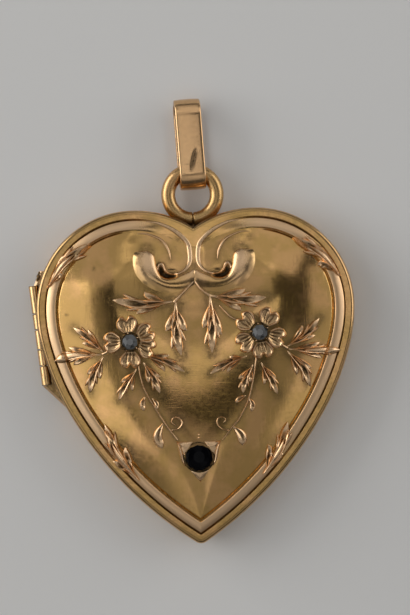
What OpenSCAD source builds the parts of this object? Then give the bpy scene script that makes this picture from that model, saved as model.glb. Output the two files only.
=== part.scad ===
// Heart photo locket: two hinged heart halves, a soldered ring and a strap bail.
// The case lies on its flat back, +Z points up to the ornamented front, +Y to the bail.

/* [Heart outline] */
// Distance of each lobe's top from the middle line
lobe_x = 6.05; // [5.9:0.05:6.2]
// Height of the lobes' tops above the middle of the back
lobe_y = 17.4; // [17:0.1:18]
// Radius of the crown, from the cleft to a lobe's top
crown_r = 11.1; // [10.8:0.1:11.6]
// Radius of the shoulder, from a lobe's top to the widest place
shoulder_r = 9.85; // [9.6:0.05:10.1]
// Radius of the hip, just below the widest place
hip_r = 15; // [14:0.5:17]
// Turn of the hip arc
hip_turn = 14; // [12:1:15]
// Radius of the flank
flank_r = 27; // [26:1:29]
// Turn of the flank arc
flank_turn = 16; // [15:1:17]
// Radius of the long side that runs down to the point
side_r = 38; // [37:1:40]
// Radius of the rounded point
point_r = 0.9; // [0.5:0.1:1.2]

/* [Case and cover] */
// Height of the seam between the two halves
seam_z = 2.6; // [2.5:0.1:2.8]
// Thickness of the case's floor
floor_t = 0.5; // [0.45:0.05:0.6]
// Thickness of the cover's skin
skin_t = 0.45; // [0.42:0.01:0.5]
// Thickness of the cover's side wall at the seam
wall_t = 0.5; // [0.45:0.05:0.6]
// Height of the cover's rim above the seam
rim_h = 1.15; // [1.05:0.05:1.3]
// Rise of the pillowed front above the rim
dome_h = 2; // [1.8:0.1:2.2]
// Width of the snap lip on the case
lip_t = 0.36; // [0.3:0.02:0.4]
// Height of the snap lip above the seam
lip_h = 0.45; // [0.3:0.05:0.5]
// Running gap between the snap lip and the cover
lip_gap = 0.12; // [0.1:0.02:0.15]

/* [Border] */
// Distance of the raised border's middle from the edge
border_in = 1.5; // [1.4:0.05:1.6]
// Width of the raised border
border_w = 1; // [0.9:0.05:1.1]
// Height of the raised border above the rim
border_h = 0.28; // [0.2:0.02:0.35]
// Depth of the groove on each side of the border
groove_d = 0.12; // [0.05:0.01:0.15]
// Height of the leaves and stems above the front
relief_h = 0.26; // [0.2:0.02:0.3]

/* [Hinge] */
// Radius of the hinge barrel
barrel_r = 0.5; // [0.45:0.01:0.52]
// Radius of the hinge pin
pin_r = 0.22; // [0.18:0.01:0.24]
// Radial clearance of the pin in the knuckles
pin_gap = 0.05; // [0.03:0.01:0.08]
// Gap between two knuckles
knuckle_gap = 0.08; // [0.06:0.01:0.12]
// Clearance of each half around the other half's knuckles
barrel_gap = 0.1; // [0.08:0.01:0.12]
// Lean of the barrel from the middle line
hinge_lean = 6.3; // [6:0.1:6.6]

/* [Ring and bail] */
// Radius of the ring's middle line
ring_r = 2.43; // [2.3:0.01:2.5]
// Diameter of the ring's wire
ring_wire = 1.4; // [1.3:0.05:1.45]
// Height of the ring's middle above the back
ring_z = 1.8; // [1.8:0.05:1.85]
// Width of the bail's strap
bail_w = 2.6; // [2.4:0.1:2.7]
// Thickness of the bail's strap
bail_t = 0.55; // [0.5:0.05:0.6]
// Inner radius of the bail's two bends
bail_r = 1.15; // [1.12:0.01:1.25]
// Distance between the middles of the two bends
bail_l = 5.75; // [5.5:0.05:6]
// Lean of the bail across the ring
bail_lean = 3.1; // [0:0.1:3.5]
// Twist of the bail on its own length
bail_twist = 4; // [0:0.5:4.5]

/* [Stones] */
// Radius of each flower's stone
flower_stone_r = 0.76; // [0.7:0.01:0.8]
// Radius of the dark stone above the point
point_stone_r = 1.32; // [1.2:0.01:1.4]
// Gap between a stone and its seat
stone_gap = 0.05; // [0.04:0.01:0.08]
// Depth of each stone's seat below the front
seat_d = 0.27; // [0.2:0.01:0.3]

/* [Hidden] */
gold = [0.80, 0.62, 0.36];
diamond_grey = [0.36, 0.39, 0.38];
stone_black = [0.03, 0.03, 0.04];
overlap = 0.01;

// Heart outline: arcs of one half, each tangent to the next
inner_point_r = 0.12;
crown_c = [lobe_x, lobe_y - crown_r];
shoulder_c = [lobe_x, lobe_y - shoulder_r];
hip_c = shoulder_c + [shoulder_r - hip_r, 0];
flank_c = hip_c + (hip_r - flank_r) * heading(-hip_turn);
side_c = flank_c + (flank_r - side_r) * heading(-hip_turn - flank_turn);
heart_w = 2 * (hip_c.x + hip_r);
cleft = [0, crown_c.y + sqrt(pow(crown_r, 2) - pow(lobe_x, 2))];

// Heights of the front
rim_z = seam_z + rim_h;
dome_in = border_in + border_w / 2 + 0.05;
dome_reach = 11.4;
dome_power = 2.6;
groove_fade = 0.35;
last_inset = 4.4;
middle = [0, 2.5];
lid_hollow_z = rim_z - 0.5;

// Hinge barrel: middle of the axis, and the knuckles' ends along it
hinge_c = [-15.58, 5.15];
hinge_way = [-sin(hinge_lean), cos(hinge_lean)];
knuckle_ends = [-5.05, -3.05, -1.4, 0.6, 2.2, 5.05];
wing_top = [-15.5, 11.6];
wing_point = [-12.95, -2.35];
bearer_t = 0.48;
web_t = 0.4;
web_reach = 2.4;
bore_l = 12;
pin_l = 9.9;

// Ring and bail
solder_gap = 0.13;
solder = [1.1, 1.35, 0.75];
ring_y = cleft.y + solder_gap + ring_r + ring_wire / 2;
bail_hang = 0.26;
bail_pivot = [0, ring_y + ring_r - bail_hang, ring_z];
bail_outer = bail_r + bail_t;
bail_drop = asin((bail_pivot.z - bail_outer * cos(bail_twist) - bail_w / 2 * sin(bail_twist)) / bail_l);

// Columns: place along a form's length, share of its full half width
LEAF = [[0, 0.12], [0.2, 0.28], [0.34, 0.85], [0.46, 1], [0.54, 0.5], [0.7, 0.62], [0.86, 0.34], [1, 0.05]];
PLAIN_LEAF = [[0, 0.1], [0.3, 0.8], [0.6, 1], [1, 0.05]];
PETAL = [[0, 0.5], [0.4, 0.88], [0.72, 1], [0.93, 0.8], [1, 0.45]];
STEM = [[0, 1], [0.25, 1], [0.5, 1], [0.75, 1], [1, 1]];
SPIKE = [[0, 1], [0.3, 0.7], [0.65, 0.32], [1, 0.05]];

// Columns: root, middle and tip of the leaf, full half width
leaves = [
    [[-2.3, 8.2], [-5.2, 8.1], [-8.2, 8.5], 0.95],
    [[-1.9, 8.1], [-2.0, 5.4], [-1.5, 2.8], 1.05],
    [[1.5, 8.7], [4.6, 8.3], [7.1, 8.4], 0.95],
    [[1.5, 8.6], [1.6, 5.6], [1.55, 3.0], 0.95],
    [[-9.2, 3.3], [-10.6, 4.7], [-12.2, 5.85], 0.6],
    [[-9.5, 3.1], [-11.7, 3.1], [-14.1, 2.7], 0.74],
    [[-9.3, 2.9], [-10.3, 1.2], [-10.75, -0.7], 0.7],
    [[-5.2, 2.9], [-3.2, 2.3], [-1.2, 1.2], 0.65],
    [[-5.4, 2.2], [-4.5, 0.8], [-3.7, -0.9], 0.65],
    [[-6.2, 1.4], [-7.1, 0.1], [-7.9, -1.5], 0.6],
    [[9, 3.45], [10.9, 4.5], [12.35, 6.2], 0.6],
    [[9.2, 3.2], [11.8, 3.0], [14.3, 3.0], 0.65],
    [[9.05, 3], [10.6, 1.3], [11.3, -0.65], 0.65],
    [[5, 2.6], [3.2, 2.1], [1.3, 0.95], 0.6],
    [[5.6, 1.6], [4.9, 0.4], [4.5, -1.1], 0.6],
    [[6.6, 1.9], [7.4, 0.4], [8, -1.3], 0.6]
];
small_leaves = [
    [[-5.4, -1.3], [-5.5, -1.9], [-5.4, -2.5], 0.28],
    [[-4.2, -1.5], [-4.15, -2], [-4.2, -2.5], 0.24],
    [[-3.6, -4], [-4, -5.2], [-3.6, -6.4], 0.5],
    [[4.2, -1.2], [4, -1.8], [4, -2.4], 0.26],
    [[5.3, -1.7], [5.35, -2.3], [5.3, -2.9], 0.3],
    [[3.5, -4.4], [4.2, -5.3], [4.4, -6.25], 0.5]
];
border_leaves = [
    [[-10.3, 14.2], [-12.9, 12.4], [-14.7, 10], 0.6],
    [[9.9, 14.3], [12.7, 12.6], [14.6, 10.4], 0.6],
    [[-9.3, -3.9], [-8.2, -6.9], [-6.1, -9.6], 0.6],
    [[8.9, -4.2], [8.1, -6.8], [6.4, -9.2], 0.6]
];
stems = [
    [[-0.05, 10.4], [-1.1, 9.3], [-2, 8.1], 0.2],
    [[0.1, 10.2], [0.6, 9.4], [1.5, 8.6], 0.2],
    [[2.9, 7.2], [3.5, 6.6], [4.6, 5.8], 0.16],
    [[-7.8, 3.9], [-8.6, 3.5], [-9.4, 3.1], 0.16],
    [[7.8, 4.3], [8.4, 3.8], [9.1, 3.3], 0.16],
    [[-5.8, 2.3], [-5, -1.1], [-2.1, -5.6], 0.14],
    [[6.1, 2.8], [5.3, -1.1], [2.3, -5.6], 0.14]
];

// Columns: middle of the flower, headings of its petals
flowers = [
    [[-6.58, 4.29], [98, 28, -20, -90, 180]],
    [[6.36, 4.93], [140, 58, -18, -82, 212]]
];
petal_in = 0.6;
petal_out = 2.4;
petal_w = 0.84;
petal_h = 0.34;
collar_w = 0.3;
collar_h = 0.22;
collar_root = 0.22;

// Three-armed setting of the dark stone
setting_c = [0, -7.32];
setting_arms = [145, 35, -90];
setting_in = 0.9;
setting_out = 2.75;
setting_w = 1.2;
setting_h = 0.34;

// Scroll of the left lobe: columns: place on the front, half width
scroll = [
    [[-8.4, 15.2], 0.5], [[-6.3, 15.75], 0.6], [[-4.2, 15.55], 0.85], [[-2.6, 14.8], 1.1],
    [[-1.6, 13.7], 1.15], [[-1.3, 12.6], 1.0], [[-1.7, 11.7], 0.8], [[-2.7, 11.3], 0.65],
    [[-3.8, 11.4], 0.8], [[-4.7, 12], 1.05], [[-4.9, 12.8], 0.8], [[-4.8, 13.3], 0.3]
];
scroll_h = 0.42;
low_share = 0.7;
tendril_r = 0.5;
tendril_w = 0.14;
tendrils = [[-2.15, -3.9], [2.36, -3.9]];

function heading(a) = [cos(a), sin(a)];
function clamp(t) = min(max(t, 0), 1);
function ease(t) = clamp(t) * clamp(t) * (3 - 2 * clamp(t));

// Arcs of the right half at a distance d inside the edge: centre, radius, start, end, steps
function outline_arcs(d) = let (
    side = side_r - d,
    crown = crown_r - d,
    tip = max(point_r - d, inner_point_r),
    tip_y = side_c.y - sqrt(pow(side - tip, 2) - pow(side_c.x, 2)),
    tip_turn = atan2(tip_y - side_c.y, -side_c.x)
) [
    [[0, tip_y], tip, -90, tip_turn, 3],
    [side_c, side, tip_turn, -hip_turn - flank_turn, 8],
    [flank_c, flank_r - d, -hip_turn - flank_turn, -hip_turn, 5],
    [hip_c, hip_r - d, -hip_turn, 0, 4],
    [shoulder_c, shoulder_r - d, 0, 90, 15],
    [crown_c, crown, 90, 180 - acos(lobe_x / crown), 7]
];

// The whole outline at a distance d inside the edge, from the point round by the right
function outline(d) = let (
    arcs = outline_arcs(d),
    right = [for (a = arcs) for (k = [0 : a[4] - 1]) a[0] + a[1] * heading(a[2] + (a[3] - a[2]) * k / a[4])],
    top = [0, crown_c.y + sqrt(pow(crown_r - d, 2) - pow(lobe_x, 2))],
    n = len(right)
) concat(right, [top], [for (i = [n - 1 : -1 : 1]) [-right[i].x, right[i].y]]);

edge_arcs = outline_arcs(0);

// Distance of a place on the front from the edge
function depth(p) = let (q = [abs(p.x), p.y]) min([
    for (a = edge_arcs)
        let (v = q - a[0], t = atan2(v.y, v.x))
        if (t >= a[2] - 0.01 && t <= a[3] + 0.01) a[1] - norm(v),
    norm(q - cleft)
]);

// The border fades out where the scrolls take its place
function border_share(p) = p.y < 10 ? 1 : ease((abs(p.x) - 6.2) / 1.6);
function border_rise(d) = let (u = abs(d - border_in) / (border_w / 2))
    u < 1 ? (border_h + groove_d) * sqrt(1 - u * u) - groove_d : -groove_d * clamp(1 - (u - 1) / groove_fade);
function dome_rise(d) = dome_h * (1 - pow(1 - clamp((d - dome_in) / dome_reach), dome_power));
function front_z(p) = let (d = depth(p)) rim_z + dome_rise(d) + border_share(p) * border_rise(d);

// Rings of one closed skin: every ring has the same number of places
function level_ring(d, z) = [for (p = outline(d)) [p.x, p.y, z]];
function front_ring(d, drop = 0) = [for (p = outline(d)) [p.x, p.y, front_z(p) - drop]];
function under_ring(d) = [for (p = outline(d)) [p.x, p.y, rim_z + dome_rise(depth(p)) - skin_t]];
function middle_ring(share, drop = 0) = [
    for (p = outline(last_inset)) let (q = middle + share * (p - middle)) [q.x, q.y, front_z(q) - drop]
];

module skin(first, rings, last) {
    n = len(rings[0]);
    m = len(rings);
    points = concat([first], [for (r = rings) for (p = r) p], [last]);
    function at(i, j) = 1 + i * n + j % n;
    faces = concat(
        [for (j = [0 : n - 1]) [0, at(0, j + 1), at(0, j)]],
        [for (i = [0 : m - 2]) for (j = [0 : n - 1]) [at(i, j), at(i, j + 1), at(i + 1, j + 1)]],
        [for (i = [0 : m - 2]) for (j = [0 : n - 1]) [at(i, j), at(i + 1, j + 1), at(i + 1, j)]],
        [for (j = [0 : n - 1]) [at(m - 1, j), at(m - 1, j + 1), 1 + m * n]]
    );
    polyhedron(points, faces);
}

// A raised form on the front: it follows the places, with low edges and one or two crests along it
module raised(places, half_widths, height, crests = 1) {
    n = len(places);
    sink = 0.15;
    edge = 0.35 * height;
    function along(i) = let (v = places[min(i + 1, n - 1)] - places[max(i - 1, 0)]) v / norm(v);
    function off(i, s, z) = let (u = along(i), p = places[i] + s * half_widths[i] * [-u.y, u.x])
        [p.x, p.y, front_z(p) + z];
    top = crests == 1 ? [[0, height]] : [[0.55, height], [0, edge], [-0.55, height]];
    section = concat([[1, -sink], [1, edge]], top, [[-1, edge], [-1, -sink]]);
    points = [for (i = [0 : n - 1]) for (q = section) off(i, q[0], q[1])];
    c = len(section);
    last = c * (n - 1);
    faces = concat(
        [for (k = [1 : c - 2]) [0, k, k + 1]],
        [for (k = [1 : c - 2]) [last, last + k + 1, last + k]],
        [for (i = [0 : n - 2]) for (k = [0 : c - 1]) [c * i + k, c * i + c + k, c * i + c + (k + 1) % c]],
        [for (i = [0 : n - 2]) for (k = [0 : c - 1]) [c * i + k, c * i + c + (k + 1) % c, c * i + (k + 1) % c]]
    );
    polyhedron(points, faces);
}

// A place on the smooth curve through three places
function bow(row, t) = (1 - t) * (1 - 2 * t) * row[0] + 4 * t * (1 - t) * row[1] + t * (2 * t - 1) * row[2];

module sprig(row, shape, height) {
    raised([for (s = shape) bow(row, s[0])], [for (s = shape) s[1] * row[3]], height);
}

module spoke(c, a, from, to, w, shape, height, crests) {
    raised(
        [for (s = shape) c + (from + (to - from) * s[0]) * heading(a)], [for (s = shape) s[1] * w], height, crests
    );
}

// Collar round a stone's seat, rooted a little way inside the cover
module collar(c, r) {
    root = seat_d + collar_root;
    translate([c.x, c.y, front_z(c) - root]) cylinder(h = root + collar_h, r1 = r + 0.1, r2 = r, $fn = 20);
}

// Each petal is dished between two crests
module flower(c, headings) {
    for (a = headings) spoke(c, a, petal_in, petal_out, petal_w, PETAL, petal_h, 2);
    collar(c, flower_stone_r + collar_w);
}

module setting() {
    for (a = setting_arms) spoke(setting_c, a, setting_in, setting_out, setting_w, SPIKE, setting_h, 1);
    collar(setting_c, point_stone_r + collar_w);
}

// One lobe's scroll, the left one for side = 1
module scroll_form(side) {
    rows = side > 0 ? scroll : [for (i = [len(scroll) - 1 : -1 : 0]) scroll[i]];
    raised([for (r = rows) [side * r[0].x, r[0].y]], [for (r = rows) r[1]], scroll_h);
}

module tendril(c) {
    turns = [0 : 45 : 270];
    raised([for (a = turns) c + tendril_r * heading(a)], [for (a = turns) tendril_w], relief_h * low_share);
}

module ornament() {
    for (row = leaves) sprig(row, LEAF, relief_h);
    for (row = small_leaves) sprig(row, PLAIN_LEAF, relief_h);
    for (row = border_leaves) sprig(row, LEAF, relief_h * low_share);
    for (row = stems) sprig(row, STEM, relief_h * low_share);
    for (f = flowers) flower(f[0], f[1]);
    setting();
    scroll_form(1);
    scroll_form(-1);
    for (c = tendrils) tendril(c);
}

// Cover: over the front from the middle to the seam, then back under its own skin
module cover() {
    skin(
        [middle.x, middle.y, front_z(middle)],
        concat(
            [for (share = [0.25, 0.5, 0.7, 0.87]) middle_ring(share)],
            [for (d = [4.4, 3.5, 2.8, 2.35, 2.02, 1.85, 1.5, 1.15, 0.97, 0.8]) front_ring(d)],
            [
                level_ring(0.45, rim_z - 0.01), level_ring(0.18, rim_z - 0.12),
                level_ring(0.03, rim_z - 0.36), level_ring(0, seam_z), level_ring(wall_t, seam_z),
                level_ring(wall_t, lid_hollow_z - 0.05), level_ring(2.1, lid_hollow_z)
            ],
            [for (d = [2.9, 4.4]) under_ring(d)],
            [for (share = [0.75, 0.4]) middle_ring(share, skin_t)]
        ),
        [middle.x, middle.y, front_z(middle) - skin_t]
    );
}

// Cup: over its floor, up and round the snap lip, then down its rounded wall to the back
module cup() {
    lip_in = wall_t + lip_gap;
    skin(
        [middle.x, middle.y, floor_t],
        [
            level_ring(1.9, floor_t), level_ring(1.2, 0.75), level_ring(lip_in + lip_t, 1.4),
            level_ring(lip_in + lip_t, seam_z + lip_h), level_ring(lip_in + 0.06, seam_z + lip_h),
            level_ring(lip_in, seam_z + lip_h - 0.1), level_ring(lip_in, seam_z - overlap),
            level_ring(0, seam_z - overlap), level_ring(0.02, 1.9), level_ring(0.2, 1.15),
            level_ring(0.62, 0.55), level_ring(1.3, 0.17), level_ring(2.3, 0)
        ],
        [middle.x, middle.y, 0]
    );
}

// Places things along the hinge barrel, with z along its axis
module on_hinge() {
    translate([hinge_c.x, hinge_c.y, seam_z]) rotate([0, 0, hinge_lean]) rotate([-90, 0, 0]) children();
}

module stretch(k, r, gap) {
    from = knuckle_ends[k] + gap;
    on_hinge() translate([0, 0, from]) cylinder(h = knuckle_ends[k + 1] - gap - from, r = r, $fn = 40);
}

// Room round the other half's knuckle, a little longer than the gap beside it
module notch(k) {
    stretch(k, barrel_r + barrel_gap, -0.75 * knuckle_gap);
}

module pin_bore() {
    on_hinge() cylinder(h = bore_l, r = pin_r + pin_gap, center = true, $fn = 32);
}

// Flat filling between a knuckle of the cover and the cover's wall
module web(k) {
    a = hinge_c + (knuckle_ends[k] + knuckle_gap) * hinge_way;
    b = hinge_c + (knuckle_ends[k + 1] - knuckle_gap) * hinge_way;
    translate([0, 0, seam_z + 0.03]) linear_extrude(web_t) difference() {
        polygon([a, b, b + [web_reach, 0], a + [web_reach, 0]]);
        polygon(outline(wall_t - 0.05));
    }
}

// Bearer: the plate that carries the case's knuckles and runs out to the rim at both ends
module bearer() {
    half = pin_l / 2;
    inward = [1.5, 0];
    translate([0, 0, seam_z - overlap - bearer_t]) linear_extrude(bearer_t) difference() {
        polygon([
            hinge_c + half * hinge_way, wing_top, wing_top + inward, wing_point + inward, wing_point,
            hinge_c - half * hinge_way
        ]);
        polygon(outline(wall_t));
    }
}

module ring() {
    translate([0, ring_y, ring_z]) rotate_extrude($fn = 96) translate([ring_r, 0]) circle(r = ring_wire / 2, $fn = 32);
    // Solder under the ring, down to the case's wall at the cleft
    translate([-solder.x / 2, cleft.y - wall_t, ring_z - solder.z]) cube(solder);
}

module back_case() {
    color(gold) difference() {
        union() {
            difference() {
                union() {
                    cup();
                    bearer();
                }
                for (k = [1, 3]) notch(k);
            }
            for (k = [0, 2, 4]) stretch(k, barrel_r, knuckle_gap / 2);
            ring();
        }
        pin_bore();
    }
}

module front_lid() {
    color(gold) difference() {
        union() {
            difference() {
                // The cover and its relief are one stamped skin, as wide as the heart
                resize([heart_w, 0, 0]) union() {
                    cover();
                    ornament();
                }
                for (k = [0, 2, 4]) notch(k);
                for (f = flowers) seat(f[0], flower_stone_r);
                seat(setting_c, point_stone_r);
            }
            for (k = [1, 3]) {
                stretch(k, barrel_r, knuckle_gap / 2);
                web(k);
            }
        }
        pin_bore();
    }
}

module seat(c, r) {
    translate([c.x, c.y, front_z(c) - seat_d]) cylinder(h = 2, r = r + stone_gap, $fn = 48);
}

module hinge_pin() {
    color(gold) on_hinge() cylinder(h = pin_l, r = pin_r, center = true, $fn = 32);
}

module bail() {
    color(gold)
        translate(bail_pivot) rotate([-bail_drop, 0, 0]) rotate([0, 0, bail_lean]) rotate([0, bail_twist, 0])
            rotate([0, -90, 0]) translate([0, 0, -bail_w / 2]) linear_extrude(bail_w) difference() {
                long_loop(bail_outer);
                long_loop(bail_r);
            }
}

module long_loop(r) {
    circle(r = r, $fn = 64);
    translate([0, bail_l]) circle(r = r, $fn = 64);
    translate([-r, 0]) square([2 * r, bail_l]);
}

// A cut stone: flat table, crown and pavilion facets in even rows
module cut_stone(c, r, sides, rise) {
    z = front_z(c) - seat_d + 0.03;
    translate([c.x, c.y, z]) rotate_extrude($fn = sides) polygon([
        [0, 0], [r * 0.6, 0], [r, 0.2], [r, 0.28], [r * 0.78, rise * 0.75], [r * 0.42, rise], [0, rise]
    ]);
}

module left_diamond() {
    color(diamond_grey) cut_stone(flowers[0][0], flower_stone_r, 8, 0.62);
}

module right_diamond() {
    color(diamond_grey) cut_stone(flowers[1][0], flower_stone_r, 8, 0.62);
}

module dark_stone() {
    color(stone_black) cut_stone(setting_c, point_stone_r, 12, 0.5);
}

back_case();
front_lid();
hinge_pin();
bail();
left_diamond();
right_diamond();
dark_stone();
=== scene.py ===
"""Heart photo locket: fits detailed gold, stones and hinge pieces over the packed frame, and lights them.

The file is laid out as an add-on for the 3D view's sidebar and is run as a script, which makes every piece.
"""

from types import SimpleNamespace

import bpy
import numpy as np
from bpy.props import FloatProperty, FloatVectorProperty, PointerProperty
from mathutils import Euler, Matrix, Vector, noise
from mathutils.geometry import delaunay_2d_cdt


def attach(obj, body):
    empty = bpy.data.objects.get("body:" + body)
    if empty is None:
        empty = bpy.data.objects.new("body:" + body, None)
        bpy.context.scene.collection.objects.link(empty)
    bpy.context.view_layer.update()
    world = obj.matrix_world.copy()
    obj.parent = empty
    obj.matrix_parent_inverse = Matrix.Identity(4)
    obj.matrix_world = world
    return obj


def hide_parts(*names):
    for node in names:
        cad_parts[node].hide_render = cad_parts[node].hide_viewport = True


bl_info = {
    "name": "Heart Photo Locket",
    "version": (1, 0, 0),
    "blender": (4, 5, 0),
    "location": "3D View > Sidebar > Locket",
    "description": "Makes a hinged heart locket with a relief front, a ring and a strap bail",
    "category": "Add Mesh",
}

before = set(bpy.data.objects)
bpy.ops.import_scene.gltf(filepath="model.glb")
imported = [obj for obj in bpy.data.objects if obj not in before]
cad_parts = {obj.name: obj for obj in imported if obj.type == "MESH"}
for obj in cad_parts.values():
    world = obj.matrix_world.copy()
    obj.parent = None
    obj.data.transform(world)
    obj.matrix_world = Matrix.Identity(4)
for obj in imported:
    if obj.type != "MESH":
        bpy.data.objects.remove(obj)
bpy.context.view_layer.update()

MM = 0.001
FULL_TURN = 2 * np.pi
HALF_TURN = np.pi
QUARTER = np.pi / 2

# Steps along the six arcs of half the outline, from the point up to the cleft
COVER_STEPS = (6, 90, 56, 28, 118, 50)
CASE_STEPS = (3, 45, 28, 14, 59, 25)

# The places and lengths from here on are in millimetres
MIDDLE_GRID = 0.21  # Step of the even grid in the middle of the front
FIELD_IN = 2.45  # Distance from the edge where that grid takes over from the rings
OUTER_GROOVE_IN = 0.94  # Distances from the edge of the grooves on the border's two sides
INNER_GROOVE_IN = 2.09
SEAM_IN = 0.07  # Distance from the edge where dirt lies on both faces of the seam
LOBES_FROM = 10  # Height on the front above which the border gives way to the scrolls
RELIEF_ROOT = 0.14  # Depth of the ornament's foot in the front

# Ends of the five knuckles along the barrel, and the numbers of those on each half
KNUCKLE_ENDS = (-5.05, -3.05, -1.4, 0.6, 2.2, 5.05)
CASE_KNUCKLES = (0, 2, 4)
LID_KNUCKLES = (1, 3)
# How far past the other half's knuckles each part is cleared; on the walls, more than the step between points
COVER_PAST = 0.16
CASE_PAST = 0.3
PLATE_PAST = 0.12

# Corners of the bearer plate beside the barrel: above it, then from below it round to the top
PLATE_CORNERS = [(-15.5, 11.6), (-12.95, -2.35), (-11.45, -2.35), (-14.0, 11.6)]
PLATE_MIDDLE_Y = 5.0  # Height on the front that the bevel draws the plate's two ends in towards
# Columns: middle of each lump of solder by the hinge, its radius
HINGE_SOLDER = [
    (-15.6, 11.05, 2.5, 0.2), (-15.48, 11.35, 2.45, 0.18), (-15.72, 10.7, 2.5, 0.16),
    (-15.64, 10.9, 2.62, 0.15),
]

# Columns: root, middle and tip of each leaf, half width, ends of its two side lobes
LEAVES = [
    ((-2.3, 8.2), (-5.2, 8.0), (-8.2, 8.5), 0.95, (-5.0, 9.25), (-5.9, 7.1)),
    ((-1.9, 8.1), (-2.0, 5.4), (-1.5, 2.8), 1.0, (-3.05, 5.3), (-0.85, 5.3)),
    ((1.5, 8.7), (4.6, 8.2), (7.1, 8.4), 0.95, (5.05, 9.3), (4.6, 7.1)),
    ((1.5, 8.6), (1.6, 5.6), (1.55, 3.0), 0.95, (0.65, 5.5), (2.6, 4.75)),
    ((-9.2, 3.3), (-10.6, 4.7), (-12.2, 5.85), 0.62, (-10.75, 5.6), (-11.4, 4.3)),
    ((-9.5, 3.1), (-11.7, 3.15), (-14.1, 2.7), 0.76, (-12.7, 3.9), (-12.3, 2.1)),
    ((-9.3, 2.9), (-10.3, 1.2), (-10.75, -0.7), 0.72, (-11.0, 1.2), (-9.6, 0.7)),
    ((-5.2, 2.9), (-3.2, 2.35), (-1.2, 1.2), 0.62, (-2.7, 2.9), (-3.2, 1.25)),
    ((-5.3, 2.2), (-4.4, 0.8), (-3.7, -0.9), 0.66, (-3.6, 0.7), (-4.9, 0.2)),
    ((-6.0, 1.6), (-7.1, 0.1), (-7.9, -1.5), 0.6, (-7.6, 0.35), (-6.4, -0.6)),
    ((9.0, 3.45), (10.9, 4.5), (12.35, 6.2), 0.62, (11.9, 4.5), (10.6, 5.5)),
    ((9.2, 3.2), (11.8, 3.0), (14.3, 3.05), 0.68, (12.3, 3.8), (12.6, 2.2)),
    ((9.05, 3.0), (10.6, 1.3), (11.3, -0.65), 0.7, (9.9, 0.6), (11.5, 1.2)),
    ((5.0, 2.6), (3.2, 2.1), (1.3, 0.95), 0.62, (3.0, 1.0), (3.3, 2.6)),
    ((5.6, 1.7), (4.8, 0.4), (4.5, -1.1), 0.62, (4.1, 0.4), (5.4, 0.0)),
    ((6.4, 1.9), (7.3, 0.4), (8.0, -1.3), 0.62, (7.9, 0.3), (6.6, -0.3)),
]
# Columns: root, middle and tip of each leaf, half width
SMALL_LEAVES = [
    ((-5.25, -1.2), (-5.5, -1.9), (-5.35, -2.6), 0.3),
    ((-4.5, -1.4), (-4.1, -1.9), (-4.1, -2.5), 0.24),
    ((-3.5, -3.9), (-4.05, -5.2), (-3.6, -6.4), 0.46),
    ((4.8, -1.3), (4.2, -1.6), (3.75, -2.0), 0.24),
    ((5.1, -1.6), (5.45, -2.2), (5.3, -2.95), 0.28),
    ((3.5, -4.4), (4.25, -5.3), (4.4, -6.3), 0.48),
]
PLUMP_LEAVES = [
    ((-10.8, 3.1), (-12.7, 3.0), (-14.2, 2.55), 0.52),
    ((10.8, 3.0), (12.8, 2.95), (14.45, 2.95), 0.4),
]
# Columns: as for the leaves
BORDER_LEAVES = [
    ((-14.75, 9.85), (-12.9, 12.4), (-10.3, 14.2), 0.95, (-13.2, 11.05), (-12.7, 13.3)),
    ((14.6, 10.3), (12.7, 12.65), (9.9, 14.3), 0.95, (12.3, 11.5), (12.3, 13.5)),
    ((-6.05, -9.6), (-8.15, -6.9), (-9.35, -3.9), 0.85, (-7.3, -6.2), (-8.6, -7.6)),
    ((6.35, -9.25), (8.1, -6.8), (8.95, -4.1), 0.85, (6.9, -6.3), (8.4, -7.2)),
]

# Columns: places along each stem with its half width there
STEMS = [
    [(-0.1, 10.2, 0.09), (-0.55, 9.7, 0.11), (-1.1, 9.15, 0.12), (-1.75, 8.5, 0.15), (-2.1, 8.1, 0.16)],
    [(0.05, 10.2, 0.09), (0.5, 9.5, 0.11), (1.0, 9.05, 0.12), (1.5, 8.7, 0.16)],
    [(2.4, 7.7, 0.05), (2.9, 7.15, 0.1), (3.5, 6.55, 0.11), (4.5, 6.0, 0.07)],
    [(-7.8, 3.9, 0.08), (-8.6, 3.5, 0.1), (-9.4, 3.1, 0.12)],
    [(7.8, 4.3, 0.08), (8.4, 3.75, 0.1), (9.1, 3.25, 0.12)],
    [(-5.9, 2.5, 0.07), (-5.5, 0.3, 0.09), (-4.95, -1.1, 0.1), (-4.25, -2.3, 0.1), (-3.3, -3.9, 0.1),
     (-2.1, -5.6, 0.07)],
    [(6.0, 2.8, 0.07), (5.75, 1.3, 0.09), (5.45, -0.3, 0.1), (5.0, -1.9, 0.1), (4.1, -3.6, 0.09),
     (3.5, -4.3, 0.08), (2.35, -5.7, 0.05)],
    [(-2.7, -4.6, 0.05), (-2.0, -4.45, 0.07), (-1.6, -3.95, 0.1), (-1.9, -3.4, 0.08), (-2.45, -3.35, 0.06),
     (-2.65, -3.8, 0.05), (-2.3, -4.1, 0.04)],
    [(3.1, -4.75, 0.04), (2.4, -4.6, 0.05), (1.9, -4.1, 0.06), (1.95, -3.55, 0.06), (2.4, -3.4, 0.05),
     (2.75, -3.65, 0.04), (2.5, -3.95, 0.03)],
]

# Columns: middle of the flower, headings of its petals
FLOWERS = [((-6.58, 4.29), (98, 28, -20, -90, 180)), ((6.36, 4.93), (140, 58, -18, -82, 212))]
# Small pits in the front: they are not cut, only painted as dark spots, which stand for their shade and dirt
PITS = [(-10.02, 11.66), (-12.84, 7.13), (-13.69, 9.25), (3.1, 9.3), (-1.1, 8.0)]

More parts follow.
